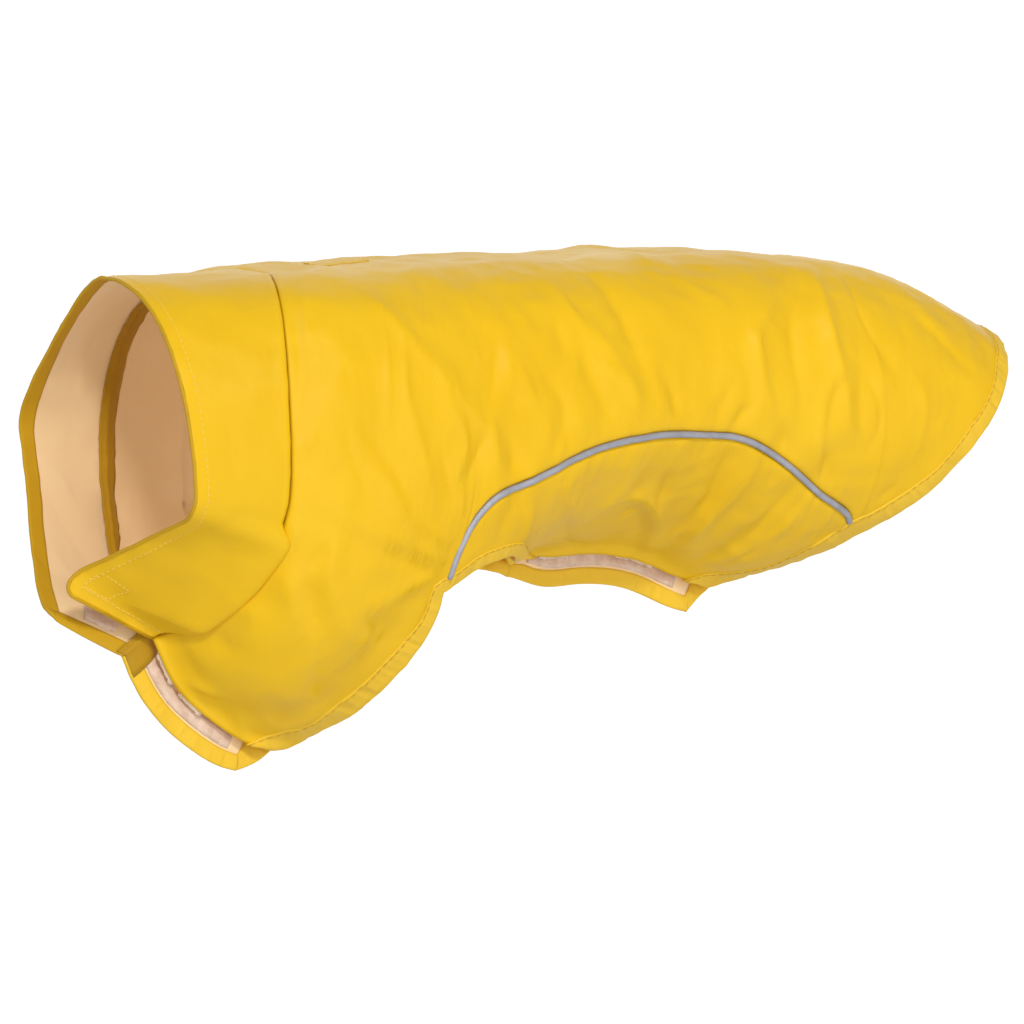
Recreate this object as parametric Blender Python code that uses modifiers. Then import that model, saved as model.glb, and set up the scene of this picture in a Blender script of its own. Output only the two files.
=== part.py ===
"""A dog raincoat of 50 cm back length, filled out as it is worn: a hollow of sewn rain cloth.

The dog faces -X, its left side is -Y and +Z is up. The origin is the place inside the back panel
where the coat rests on the withers. Sizes and tables are in millimetres. A place on the body is
(side, back, girth): side is -1 on the dog's left and +1 on its right, back is the distance behind
the neck seam, and girth runs from 0 on the back's centre line to 1 at the edge of the right-hand
closing flap. A place on the collar is (side, rise, girth): rise is 0 at the neck seam, 1 at the rim.
"""

import bpy
import numpy as np

MM = 0.001

# Driving sizes, mm
WALL = 1.5            # coated cloth with its backing
SEAM_GAP = 0.3        # between pieces sewn edge to edge
LAYER_GAP = 0.4       # between pieces sewn on one another
BINDING_GAP = 0.5     # between a binding and the cloth on each face
STRIP_WALL = 0.9      # binding, tape and hem
BAND = 8.0            # width of binding and hem, on each face
TAPE_HALF = 4.5       # neck seam tape on each side of the seam
PIPING_RADIUS = 2.0
PIPING_SIDES = 2      # bevel resolution
PIPING_START = (97.2, 0.600)   # back and girth of its front end
CLOSING_HALF = 3.2    # centre plane to the outer face of a closing edge
KEEL = 22.0           # flat part of the closings, where the sides lie against each other
LEFT_KEEL = 19.0      # the left closings' last rib before their inset line, from the edge
FLAP = 17.0           # how far the right closing edges pass the left ones
HOOK_OVERHANG = 2.0   # how far hook tape shows past the left edges
ORIGIN_BACK = 40.0    # the origin is this far behind the neck seam,
ORIGIN_HEIGHT = -0.5  # on the inner face of the back there
ARC_STEPS = 60        # points in each half of a section curve
CLOSING_ROUND = 12.0  # how far the bend above the closings is rounded, each way along the cloth
NUDGE = 0.5           # step for slopes, mm
GIRTH_SCALE = 350.0   # usual length of a half section, mm
SEAM_PULL = PIPING_RADIUS + SEAM_GAP   # panel edge to the arched seam line

BINDING_ROUND = 0.9   # how far a binding's fold stands off the cloth's edge
PATCH_MARGIN = 1.5    # loop tape to the binding
PATCH_WIDTH = 10.0
COLLAR_FLAP = 12.0    # how far the collar's right end passes its left one, at the rim
COLLAR_UNIT = 70.0    # usual height of the collar
COLLAR_START = 0.8    # the collar's lower edge to the neck seam line
CORNER_CUT = {-1: 0.10, 1: 0.03}   # how much the rim's front corners are rounded, as a rise
WELT_START = 33.0     # leash slit, behind the neck seam
WELT_LENGTH = 38.0
WELT_HALF = 3.0
# Tapes on the closings: 0 for the chest's or 1 for the belly's, and the distances along its edge,
# from the front, of the tape's ends
HOOK_PATCHES = {
    "hook_chest_upper": (0, 10.0, 29.0),
    "hook_chest_lower": (0, 36.0, 54.0),
    "hook_belly_front": (1, 12.0, 32.0),
    "hook_belly_rear": (1, 64.0, 92.0),
}
LOOP_PATCHES = {"loop_chest": (0, 14.0, 56.0), "loop_belly": (1, 18.0, 98.0)}
COLLAR_PATCH = (14.0, 38.0)    # both the collar's tapes, from the seam tape's line towards the rim

COAT = "dog_raincoat"
SIDE_NAME = {-1: "left", 1: "right"}

# Rows and ribs of the panels' grids
LEG_ROWS = 10
ARCH_ROWS = 20
REAR_ROWS = 14
LEG_REAR_ROWS = 9
BELLY_ROWS = 6
REAR_LOWER_ROWS = ARCH_ROWS + 2 - LEG_REAR_ROWS - BELLY_ROWS
BACK_RIBS = 18
GUSSET_RIBS = 9
COLLAR_ROWS = 5

# One row per section of the body. x, z and half_width at the top, the widest place and the
# bottom; crown is the flat top's half width; upper and lower are superellipse exponents above
# and below the widest place; lean is the forward tilt of the keel, degrees.
SECTION_COLUMNS = (
    "x_top", "z_top", "x_side", "z_side", "x_bottom", "z_bottom", "half_width", "crown",
    "upper", "lower", "lean",
)
BODY_SECTIONS = {  # back: section
    0: (0, 0, -38, -105, -83, -194, 83, 13, 2.65, 1.6, 60),
    25: (25, 1, -16, -106, -63, -228, 91, 14, 2.8, 1.8, 48),
    42: (42, 1, 3, -108, -37, -248, 93, 15, 2.7, 1.8, 44),
    60: (60, 1, 22, -110, -8, -263, 95, 16, 2.6, 1.7, 36),
    110: (110, 0, 80, -105, 70, -245, 96, 18, 2.5, 1.7, 0),
    160: (160, -1, 143, -92, 146, -186, 94, 18, 2.5, 1.7, 0),
    200: (200, -2, 190, -84, 193, -180, 91, 18, 2.5, 1.6, 0),
    260: (260, -4, 255, -80, 254, -187, 88, 18, 2.4, 1.5, 0),
    290: (290, -5, 288, -81, 286, -202, 88, 18, 2.4, 1.6, 0),
    320: (320, -8, 318, -82, 315, -206, 88, 18, 2.4, 1.7, 0),
    390: (390, -18, 388, -92, 385, -200, 88, 16, 2.3, 1.9, 0),
    450: (450, -41, 446, -108, 440, -200, 84, 14, 2.2, 2.0, 0),
    500: (500, -68, 494, -125, 488, -200, 76, 12, 2.1, 2.0, 0),
}
# The collar's rim by side, and how its front ends meet: flat part, and half the distance apart
RIM_SECTIONS = {
    -1: (-93, 1.5, -95, -111, -130, -167, 80.5, 6, 1.95, 0.94, 30),
    1: (-93, 1.5, -87, -78, -120, -172, 90, 10, 1.15, 1.35, 11),
}
RIM_CLOSING = {-1: (KEEL, CLOSING_HALF), 1: (2.0, 17.0)}

# Edges of the right side, as stretches of (centre, back, girth): a rib runs from the centre line
# at back = centre to the edge at (back, girth). The left side is the same, less the flaps.
CHEST_EDGE = ((0, 0, 1.0), (4.5, 4.5, 1.0), (17, 18, 1.0), (30, 31, 1.0), (43, 45, 1.0), (56, 57, 1.0))
LEG_FRONT_EDGE = (
    (56, 57, 1.0), (62, 65, 0.975), (72, 74, 0.935), (80, 80, 0.868), (88, 88, 0.80),
    (96, 94, 0.725), (103, 96, 0.68), (108, 96, 0.645),
)
ARCH_SEAM = (
    (113, 97.6, 0.59), (118, 99, 0.57), (123, 106, 0.53), (130, 118, 0.517), (141, 134, 0.53),
    (157, 152, 0.536), (178, 176, 0.533), (204, 203, 0.53), (237, 237, 0.54), (272, 274, 0.55),
    (294, 298, 0.58), (316, 323, 0.628), (342, 355, 0.695), (345, 361, 0.72),
)
REAR_EDGE = (
    (350, 368, 0.748), (362, 380, 0.705), (382, 396, 0.64), (398, 412, 0.562),
    (413, 427, 0.487), (430, 443, 0.412), (448, 457, 0.325), (464, 471, 0.225),
    (476, 483, 0.115), (483, 491, 0.0),
)
# The gusset's lower edge, as stretches of (back, girth), by side where the sides differ
LEG_REAR_EDGE = {
    -1: (
        (96, 0.645), (109, 0.632), (124, 0.635), (139, 0.695), (158, 0.82), (172, 0.925), (181, 1.0),
    ),
    1: (
        (96, 0.645), (109, 0.632), (124, 0.635), (139, 0.72), (152, 0.86), (164, 0.94), (176, 0.975),
    ),
}
BELLY_EDGE = {
    -1: ((181, 1.0), (192, 1.0), (237, 1.0), (283, 1.0), (294, 1.0)),
    1: ((176, 0.975), (189, 0.99), (202, 1.0), (237, 1.0), (283, 1.0), (294, 1.0)),
}
REAR_LOWER_EDGE = ((294, 1.0), (303, 0.965), (318, 0.93), (337, 0.885), (353, 0.82), (368, 0.748))

# Largest folds of the shell: (back, girth) at each end, reach to each side, height outwards
FOLDS = (
    (65, 0.25, 106, 0.395, 9, 2.6),
    (31, 0.405, 80, 0.535, 10, 2.4),
    (60, 0.275, 58, 0.39, 10, -1.8),
    (159, 0.245, 191, 0.44, 9, 2.6),
    (182, 0.175, 199, 0.405, 8, -2.0),
    (265, 0.40, 273, 0.505, 10, 2.2),
    (339, 0.13, 321, 0.38, 9, 2.6),
    (318, 0.19, 278, 0.38, 11, -2.2),
    (358, 0.19, 347, 0.38, 9, 2.0),
    (3, 0.60, 43, 0.73, 9, 2.6),
    (8, 0.60, 54, 0.71, 8, -1.8),
    (282, 0.56, 262, 0.82, 12, -2.4),
    (191, 0.62, 215, 0.90, 12, -2.2),
)
FOLD_SHIFT = {-1: 0.0, 1: 7.0}    # the right side's folds lie this much further back


def fair(x, knots, values):
    """A smooth curve through a column of a table, which makes no new highs or lows."""
    knots = np.asarray(knots, float)
    values = np.asarray(values, float)
    run = np.diff(knots)
    rise = np.diff(values) / run
    slope = np.empty_like(values)
    slope[0], slope[-1] = rise[0], rise[-1]
    mean = (rise[:-1] * run[1:] + rise[1:] * run[:-1]) / (run[:-1] + run[1:])
    slope[1:-1] = np.where(rise[:-1] * rise[1:] > 0, mean, 0.0)
    k = np.clip(np.searchsorted(knots, x, side="right") - 1, 0, len(run) - 1)
    t = (x - knots[k]) / run[k]
    start = (1 + 2 * t) * (1 - t) ** 2 * values[k] + t * (1 - t) ** 2 * run[k] * slope[k]
    return start + t * t * (3 - 2 * t) * values[k + 1] - t * t * (1 - t) * run[k] * slope[k + 1]


def section_curve(section, keel=KEEL, closing_half=CLOSING_HALF):
    """Points of one half section, (..., n, 3), from the centre line to the closing edge."""
    columns = dict(zip(SECTION_COLUMNS, (np.asarray(c, float)[..., None] for c in section)))
    x_side, z_side = columns["x_side"], columns["z_side"]
    half, crown = columns["half_width"], columns["crown"]
    lean = np.radians(columns["lean"])
    turn = np.linspace(0, np.pi / 2, ARC_STEPS)
    y_up = crown + (half - crown) * np.sin(turn) ** (2 / columns["upper"])
    z_up = z_side + (columns["z_top"] - z_side) * np.cos(turn) ** (2 / columns["upper"])
    out = (y_up - crown) / (half - crown)
    x_up = columns["x_top"] + (x_side - columns["x_top"]) * out ** 0.9
    x_keel = columns["x_bottom"] + keel * np.sin(lean)
    z_keel = columns["z_bottom"] + keel * np.cos(lean)
    fall = np.sin(turn[1:]) ** (2 / columns["lower"])
    inward = np.abs(np.cos(turn[1:])) ** (2 / columns["lower"])
    y_down = closing_half + (half - closing_half) * inward
    z_down = z_side + (z_keel - z_side) * fall
    x_down = x_side + (x_keel - x_side) * fall ** 1.7
    none = np.zeros_like(half)
    x = np.concatenate([columns["x_top"] + none, x_up, x_down, columns["x_bottom"] + none], -1)
    y = np.concatenate([none, y_up, y_down, none + closing_half], -1)
    z = np.concatenate([columns["z_top"] + none, z_up, z_down, columns["z_bottom"] + none], -1)
    return np.stack([x, y, z], -1)


def at_share(curve, share):
    """Points at these shares of each curve's length."""
    steps = np.linalg.norm(np.diff(curve, axis=-2), axis=-1)
    run = np.concatenate([np.zeros(steps.shape[:-1] + (1,)), np.cumsum(steps, -1)], -1)
    want = share * run[..., -1]
    k = np.clip((run[..., :-1] <= want[..., None]).sum(-1) - 1, 0, steps.shape[-1] - 1)[..., None]
    past = want - np.take_along_axis(run, k, -1)[..., 0]
    part = past / np.maximum(np.take_along_axis(steps, k, -1)[..., 0], 1e-9)
    low = np.take_along_axis(curve, k[..., None].repeat(3, -1), -2)[..., 0, :]
    high = np.take_along_axis(curve, (k + 1)[..., None].repeat(3, -1), -2)[..., 0, :]
    return low + part[..., None] * (high - low)


def rounded(curve, share):
    """Points at these shares of each curve's length, with its corners rounded."""
    length = np.linalg.norm(np.diff(curve, axis=-2), axis=-1).sum(-1)
    reach = np.minimum(CLOSING_ROUND / length, np.minimum(share, 1 - share))
    places = [(k, at_share(curve, np.clip(share + k * reach, 0, 1))) for k in (-1, -0.5, 0, 0.5, 1)]
    return sum((0.125 if abs(k) == 1 else 0.25) * place for k, place in places)


def body_section(back):
    knots = list(BODY_SECTIONS)
    table = np.array([BODY_SECTIONS[k] for k in knots], float)
    back = np.clip(back, knots[0], knots[-1])
    return [fair(back, knots, table[:, column]) for column in range(table.shape[1])]


def to_side(points, side):
    points = points.copy()
    points[..., 1] *= side
    points[..., 0] -= ORIGIN_BACK
    points[..., 2] -= ORIGIN_HEIGHT
    return points


def body_surface(side, back, girth):
    back, girth = np.broadcast_arrays(np.asarray(back, float), np.asarray(girth, float))
    return to_side(rounded(section_curve(body_section(back)), girth), side)


def collar_surface(side, rise, girth):
    rise, girth = np.broadcast_arrays(np.asarray(rise, float), np.asarray(girth, float))
    low = rounded(section_curve([np.zeros_like(rise) + c for c in BODY_SECTIONS[0]]), girth)
    rim = [np.zeros_like(rise) + c for c in RIM_SECTIONS[side]]
    high = rounded(section_curve(rim, *RIM_CLOSING[side]), girth)
    return to_side(low + rise[..., None] * (high - low), side)


def slopes(surface, side, a, b, step_a, step_b):
    """Changes of the surface per unit of each coordinate, and its unit outward normal."""
    before, after = np.maximum(a - step_a, 0), a + step_a
    along = (surface(side, after, b) - surface(side, before, b)) / (after - before)[..., None]
    low, high = np.maximum(b - step_b, 0), np.minimum(b + step_b, 1)
    round_ = (surface(side, a, high) - surface(side, a, low)) / (high - low)[..., None]
    normal = np.cross(along, round_) * side
    return along, round_, normal / np.linalg.norm(normal, axis=-1, keepdims=True)


def fold_height(side, back, girth, points):
    height = np.zeros(points.shape[:-1])
    for back_0, girth_0, back_1, girth_1, reach, tall in FOLDS:
        t = np.linspace(0, 1, 9)
        shift = FOLD_SHIFT[side]
        back_t, girth_t = back_0 + t * (back_1 - back_0), girth_0 + t * (girth_1 - girth_0)
        crest = body_surface(side, shift + back_t, girth_t)
        apart = np.linalg.norm(points[..., None, :] - crest, axis=-1)
        nearest = apart.min(-1)
        fade = np.sin(np.pi * (0.12 + 0.76 * t[apart.argmin(-1)]))
        height += tall * fade * np.exp(-(nearest / reach) ** 2)
    return height


def folded_body(side, back, girth):
    points = body_surface(side, back, girth)
    back, girth = np.broadcast_arrays(np.asarray(back, float), np.asarray(girth, float))
    normal = slopes(body_surface, side, back, girth, NUDGE, NUDGE / GIRTH_SCALE)[2]
    return points + normal * fold_height(side, back, girth, points)[..., None]


def normals_of(surface, side, a, b, unit=1.0):
    """Unit outward normals. unit is the size of one step of a, in mm."""
    a, b = np.broadcast_arrays(np.asarray(a, float), np.asarray(b, float))
    return slopes(surface, side, a, b, NUDGE / unit, NUDGE / GIRTH_SCALE)[2]


def girth_length(back):
    """Length of one half section, mm."""
    curve = section_curve(body_section(np.asarray(back, float)))
    return np.linalg.norm(np.diff(curve, axis=-2), axis=-1).sum(-1)


def sampled(table, count):
    """count rows evenly along a table whose last two columns are back and girth, ends included."""
    table = np.array(table, float)
    steps = np.diff(table[:, -2:] * (1, GIRTH_SCALE), axis=0)
    run = np.concatenate([[0], np.cumsum(np.linalg.norm(steps, axis=1))])
    want = np.linspace(0, run[-1], count)
    return np.stack([fair(want, run, column) for column in table.T], 1)


def cut_to(side, rows):
    """The left side's closing edges stop short of the right side's by the flap."""
    rows = np.array(rows, float)
    if side < 0:
        most = 1 - FLAP / girth_length(rows[:, -2])
        rows[:, -1] = np.minimum(rows[:, -1], most)
    return rows


def pulled_in(side, path, pulls):
    """The path's points moved into the cloth: pulls[i] is the distance from the line that ends at
    point i and from the line that starts there. path has one extra point before and after."""
    points = body_surface(side, path[:, 0], path[:, 1])
    middle = path[1:-1]
    along, round_, normal = slopes(
        body_surface, side, middle[:, 0], middle[:, 1], NUDGE, NUDGE / GIRTH_SCALE
    )
    moved = []
    for i, (before, after) in enumerate(pulls):
        inwards = []
        for line in (points[i + 1] - points[i], points[i + 2] - points[i + 1]):
            turned = -side * np.cross(normal[i], line)
            inwards.append(turned / np.linalg.norm(turned))
        first, second = inwards
        facing = first @ second
        if facing > 0.93:
            shift = (first + second) / np.linalg.norm(first + second) * (before + after) / 2
        else:
            spread = 1 - facing ** 2
            shift = (first * (before - facing * after) + second * (after - facing * before)) / spread
        metric = np.array([
            [along[i] @ along[i], along[i] @ round_[i]],
            [along[i] @ round_[i], round_[i] @ round_[i]],
        ])
        change = np.linalg.solve(metric, [along[i] @ shift, round_[i] @ shift])
        moved.append(middle[i] + change)
    return np.maximum(moved, 0)


def between(lines):
    """Pull distances (before, after) of each point, from those of the lines that meet there."""
    return list(zip(lines[:-1], lines[1:]))


def ribs(start, ends, count):
    """count places from each start towards its end, the end left out."""
    part = np.arange(count)[None, :, None] / count
    return start[:, None, :] * (1 - part) + ends[:, None, :] * part


class Outline:
    """The cut of one side of the body: edges, insets and ribs of its panels, as (back, girth)."""

    def __init__(self, side):
        self.side = side
        self.keel_line = KEEL if side > 0 else LEFT_KEEL
        self.chest = cut_to(side, CHEST_EDGE)
        self.leg_front = cut_to(side, sampled(LEG_FRONT_EDGE, LEG_ROWS))
        self.arch = sampled(ARCH_SEAM, ARCH_ROWS)
        self.rear = sampled(REAR_EDGE, REAR_ROWS)
        self.lower = np.concatenate([
            cut_to(side, sampled(LEG_REAR_EDGE[side], LEG_REAR_ROWS)),
            cut_to(side, sampled(BELLY_EDGE[side], BELLY_ROWS))[1:],
            cut_to(side, sampled(REAR_LOWER_EDGE, REAR_LOWER_ROWS))[1:],
        ])
        self.cut_back()
        self.cut_gusset()
        self.belly_front = LEG_REAR_ROWS - 1
        self.belly_rear = self.belly_front + BELLY_ROWS - 1

    def cut_back(self):
        rows = np.concatenate([self.chest, self.leg_front[1:], self.arch, self.rear])
        first, last = rows[0, 1:], rows[-2, 1:]
        path = np.vstack([first - (0, 0.03), rows[:, 1:], last * (1, -1)])
        chest, leg, rear = len(self.chest) - 1, LEG_ROWS - 1, REAR_ROWS - 1
        seam = [SEAM_PULL] * (ARCH_ROWS + 1)
        self.back_edge = pulled_in(
            self.side, path, between([0] + [0] * (chest + leg) + seam + [0] * (rear + 1))
        )
        self.back_inset = pulled_in(
            self.side, path, between([0] + [BAND] * (chest + leg) + seam + [BAND] * (rear + 1))
        )
        self.back_edge[-1] = rows[-1, 1:]
        self.back_inset[-1] = rows[-1, 1:] - (BAND, 0)
        centre = np.stack([rows[:, 0], np.zeros(len(rows))], 1)
        centre[-1] = self.back_inset[-1]
        keel = pulled_in(self.side, path, between(
            [0] + [self.keel_line] * chest + [BAND] * leg + seam + [BAND] * (rear + 1)
        ))
        inner = self.back_inset + (centre - self.back_inset) / BACK_RIBS
        inner[:chest + 1] = keel[:chest + 1]
        self.back = np.concatenate([
            ribs(centre, inner, BACK_RIBS), inner[:, None], self.back_inset[:, None],
            self.back_edge[:, None],
        ], 1)

    def cut_gusset(self):
        arch = self.arch[:, 1:]
        path = np.vstack([arch[0], self.lower, arch[-1]])
        leg, belly, rear = LEG_REAR_ROWS - 1, BELLY_ROWS - 1, REAR_LOWER_ROWS - 1
        free = leg + belly + rear
        self.lower_edge = pulled_in(
            self.side, path, between([SEAM_PULL] + [0] * free + [SEAM_PULL])
        )
        self.lower_inset = pulled_in(
            self.side, path, between([SEAM_PULL] + [BAND] * free + [SEAM_PULL])
        )
        keel = pulled_in(self.side, path, between(
            [SEAM_PULL] + [BAND] * leg + [self.keel_line] * belly + [BAND] * rear + [SEAM_PULL]
        ))
        whole_arch = np.vstack([self.lower[0], arch, self.lower[-1]])
        top = pulled_in(self.side, whole_arch, [(-SEAM_PULL, -SEAM_PULL)] * len(arch))
        inner = self.lower_inset + (top - self.lower_inset) / GUSSET_RIBS
        inner[leg:leg + belly + 1] = keel[leg:leg + belly + 1]
        self.gusset = np.concatenate([
            ribs(top, inner, GUSSET_RIBS), inner[:, None], self.lower_inset[:, None],
            self.lower_edge[:, None],
        ], 1)

    def leg_grid(self):
        """Points and normals (2, rings, 2, 3) of the leg opening's edge, with its inset."""
        corner = len(self.chest) - 1
        junction = corner + LEG_ROWS - 1
        path = np.vstack([self.leg_front[-2, 1:], self.lower[:2]])
        inset = pulled_in(self.side, path, [(BAND, BAND)])[0]
        mitre = np.stack(on_body(self.side, np.stack([self.lower[0], inset])[None]))
        front = self.back_grid[:, corner:junction, -2:]
        rear = self.gusset_grid[:, :self.belly_front + 1, -2:]
        rings = [front[:, :, ::-1], mitre, rear[:, :, ::-1]]
        if self.side < 0:
            rings[0] = from_closing(rings[0], self.back_grid[:, corner - 1, -1])
            rings[2] = from_closing(
                rings[2][:, ::-1], self.gusset_grid[:, self.belly_front + 1, -1]
            )[:, ::-1]
        return np.concatenate(rings, 1)

    def rear_grid(self):
        """The same of the rear hem, from the belly's closing to the tip."""
        lower = self.gusset_grid[:, self.belly_rear:, :-3:-1]
        if self.side < 0:
            lower = from_closing(lower, self.gusset_grid[:, self.belly_rear - 1, -1])
        return np.concatenate([lower, self.back_grid[:, -REAR_ROWS:, :-3:-1]], 1)


def from_closing(rings, beside):
    """Rings (2, n, 2, 3) of a binding that starts on the left's closing edge, with their mitre."""
    rings = rings.copy()
    edge = rings[:, 0, 0].copy()
    run = beside - edge
    first = np.stack([edge, edge + run * BAND / np.linalg.norm(run[0])], 1)
    rings[:, 0, 0] += 0.4 * (rings[:, 1, 0] - edge)
    return np.concatenate([first[:, None], rings], 1)


def shortened(rings, start, end):
    """Rings of points (n, m, 3) drawn back from their neighbours by these distances."""
    rings = rings.copy()
    for first, second, gap in ((0, 1, start), (-1, -2, end)):
        run = rings[second] - rings[first]
        rings[first] += run * gap / np.linalg.norm(run[0])
    return rings


def lengthways(grid, start, end):
    """The grid (2, rows, columns, 3) between two distances along its last column, with end rows."""
    steps = np.linalg.norm(np.diff(grid[0, :, -1], axis=0), axis=1)
    run = np.concatenate([[0], np.cumsum(steps)])
    kept = [start] + [r for r in run if start + 2 < r < end - 2] + [end]
    row = np.interp(kept, run, np.arange(len(run)))
    low = np.minimum(row.astype(int), len(run) - 2)
    part = (row - low)[:, None, None]
    return grid[:, low] * (1 - part) + grid[:, low + 1] * part


def crossways(grid, near, far):
    """The grid's strip between two distances from its last column, inside its last cell."""
    wide = np.linalg.norm(grid[0, :, -1] - grid[0, :, -2], axis=-1)[:, None]
    strips = [grid[:, :, -1] + (grid[:, :, -2] - grid[:, :, -1]) * reach / wide for reach in (far, near)]
    return np.stack(strips, 2)


def material(name, colour, roughness, metallic=0.0):
    made = bpy.data.materials.new(name)
    made.use_nodes = True
    shader = made.node_tree.nodes["Principled BSDF"]
    shader.inputs["Base Color"].default_value = (*colour, 1)
    shader.inputs["Roughness"].default_value = roughness
    shader.inputs["Metallic"].default_value = metallic
    made.diffuse_color = (*colour, 1)
    return made


def cloth(name, points, outward, base, wall, offset, finish, left_out=()):
    """A solid wall on a grid of points (rows, columns, 3), mm, less the cells that are left out.
    Points that meet become one. Each cell is split along the shorter diagonal of its cell in base,
    the cloth it is laid on, so that both bend alike. It returns the grid with its normals,
    (2, rows, columns, 3)."""
    rows, columns = points.shape[:2]
    corners, index = np.unique(np.round(points.reshape(-1, 3), 3), axis=0, return_inverse=True)
    index = index.reshape(rows, columns)
    faces = []
    facing = 0.0
    for cell in np.ndindex(rows - 1, columns - 1):
        if cell in left_out:
            continue
        i, j = cell
        ring = [(i, j), (i + 1, j), (i + 1, j + 1), (i, j + 1)]
        first, second = points[ring[2]] - points[ring[0]], points[ring[3]] - points[ring[1]]
        facing += np.cross(first, second) @ (outward[ring[0]] + outward[ring[2]])
        first, second = base[ring[2]] - base[ring[0]], base[ring[3]] - base[ring[1]]
        if first @ first > second @ second:
            ring = ring[1:] + ring[:1]
        for half in (ring[:3], ring[2:] + ring[:1]):
            face = [int(index[corner]) for corner in half]
            if len(set(face)) == 3:
                faces.append(face)
    if facing < 0:
        faces = [face[::-1] for face in faces]
    mesh = bpy.data.meshes.new(name)
    mesh.from_pydata((corners * MM).tolist(), [], faces)
    mesh.shade_smooth()
    piece = bpy.data.objects.new(name, mesh)
    bpy.data.collections[COAT].objects.link(piece)
    shell = piece.modifiers.new("wall", "SOLIDIFY")
    shell.thickness = wall * MM
    shell.offset = offset
    shell.use_rim = True
    mesh.materials.append(finish)
    normals = np.array([normal.vector for normal in mesh.vertex_normals])
    return np.stack([points, normals[index]])


def on_body(side, places, distance=0.0):
    """Points and outward normals of the folded body at places (..., 2), moved out."""
    back, girth = places[..., 0], places[..., 1]
    normal = normals_of(folded_body, side, back, girth)
    return folded_body(side, back, girth) + normal * distance, normal


def both_sides(left, right):
    """One grid (..., columns, 3) from the left's outermost column over the centre line."""
    return np.concatenate([left[..., :0:-1, :], right], -2)


def split_sides(grid):
    """The left's and the right's columns of such a grid, each from the centre line."""
    middle = grid.shape[-2] // 2
    return grid[..., middle::-1, :], grid[..., middle:, :]


def back_panel(left, right, finish):
    grid = both_sides(*(np.stack(on_body(outline.side, outline.back)) for outline in (left, right)))
    left.back_grid, right.back_grid = split_sides(
        cloth("back_panel", *grid, grid[0], WALL, -1, finish)
    )


def side_gusset(outline, finish):
    name = "side_gusset_" + SIDE_NAME[outline.side]
    grid = on_body(outline.side, outline.gusset)
    outline.gusset_grid = cloth(name, *grid, grid[0], WALL, -1, finish)


def binding(name, rings, start, end, finish):
    """A folded strip round these rings (2, n, 2, 3) of edge and inset points and normals."""
    (edge, inset), (edge_out, inset_out) = rings.transpose(0, 2, 1, 3)
    beyond = edge - inset
    beyond /= np.linalg.norm(beyond, axis=-1, keepdims=True)
    points = np.stack([
        inset + inset_out * BINDING_GAP,
        edge + edge_out * BINDING_GAP + beyond * BINDING_GAP,
        edge - edge_out * WALL / 2 + beyond * BINDING_ROUND,
        edge - edge_out * (WALL + BINDING_GAP) + beyond * BINDING_GAP,
        inset - inset_out * (WALL + BINDING_GAP),
    ], 1)
    outward = np.stack([inset_out, edge_out, beyond, -edge_out, -inset_out], 1)
    base = np.stack([inset, edge, edge, edge, inset], 1)
    cloth(name, shortened(points, start, end), outward, base, STRIP_WALL, 1, finish)


def collar_places(outline):
    """Places (rise, girth) of the collar's grid on one side: seam, tape line, rim hem line, rim."""
    seam = outline.back[0, :, 1]
    rim_curve = section_curve(
        [np.asarray(c, float) for c in RIM_SECTIONS[outline.side]], *RIM_CLOSING[outline.side]
    )
    rim_length = np.linalg.norm(np.diff(rim_curve, axis=0), axis=1).sum()
    end = 1.0 if outline.side > 0 else 1 - COLLAR_FLAP / rim_length
    inner = end - outline.keel_line / rim_length
    rim = np.concatenate([
        np.arange(BACK_RIBS) / BACK_RIBS * inner, [inner, end - BAND / rim_length, end]
    ])
    low = collar_surface(outline.side, 0.0, seam)
    high = collar_surface(outline.side, 1.0, rim)
    tall = np.linalg.norm(high - low, axis=-1)
    first, last = TAPE_HALF / tall, 1 - BAND / tall
    rows = [COLLAR_START / tall]
    rows += [first + (last - first) * k / COLLAR_ROWS for k in range(COLLAR_ROWS + 1)]
    rows.append(np.ones_like(tall))
    rise = np.stack(rows)
    rise[-1, -1] -= CORNER_CUT[outline.side]
    girth = seam + (rim - seam) * rise
    girth[-1, -1] -= CORNER_CUT[outline.side] / 3
    return rise, girth


def collar(left, right, finish):
    grids = []
    for outline in (left, right):
        rise, girth = collar_places(outline)
        normal = -normals_of(collar_surface, outline.side, rise, girth, COLLAR_UNIT)
        grids.append(np.stack([collar_surface(outline.side, rise, girth), normal]))
    grid = both_sides(*grids)
    left.collar_grid, right.collar_grid = split_sides(
        cloth("collar", *grid, grid[0], WALL, -1, finish)
    )


def moved_in(grid, depth):
    """A grid (2, rows, columns, 3) moved against its normals, its normals, and where it was."""
    return grid[0] - grid[1] * depth, grid[1], grid[0]


def collar_rim_hem(left, right, finish):
    """The hem turned in along the rim and down both front ends, on the collar's inner face."""
    grid = both_sides(left.collar_grid, right.collar_grid)[:, 1:]
    points, outward, base = moved_in(grid, WALL + LAYER_GAP)
    rise = points[1] - points[0]
    points[0] += rise * LAYER_GAP / np.linalg.norm(rise, axis=-1, keepdims=True)
    rows, columns = points.shape[:2]
    inside = {(i, j) for i in range(rows - 2) for j in range(1, columns - 2)}
    cloth("collar_rim_hem", points, outward, base, STRIP_WALL, -1, finish, inside)


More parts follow.
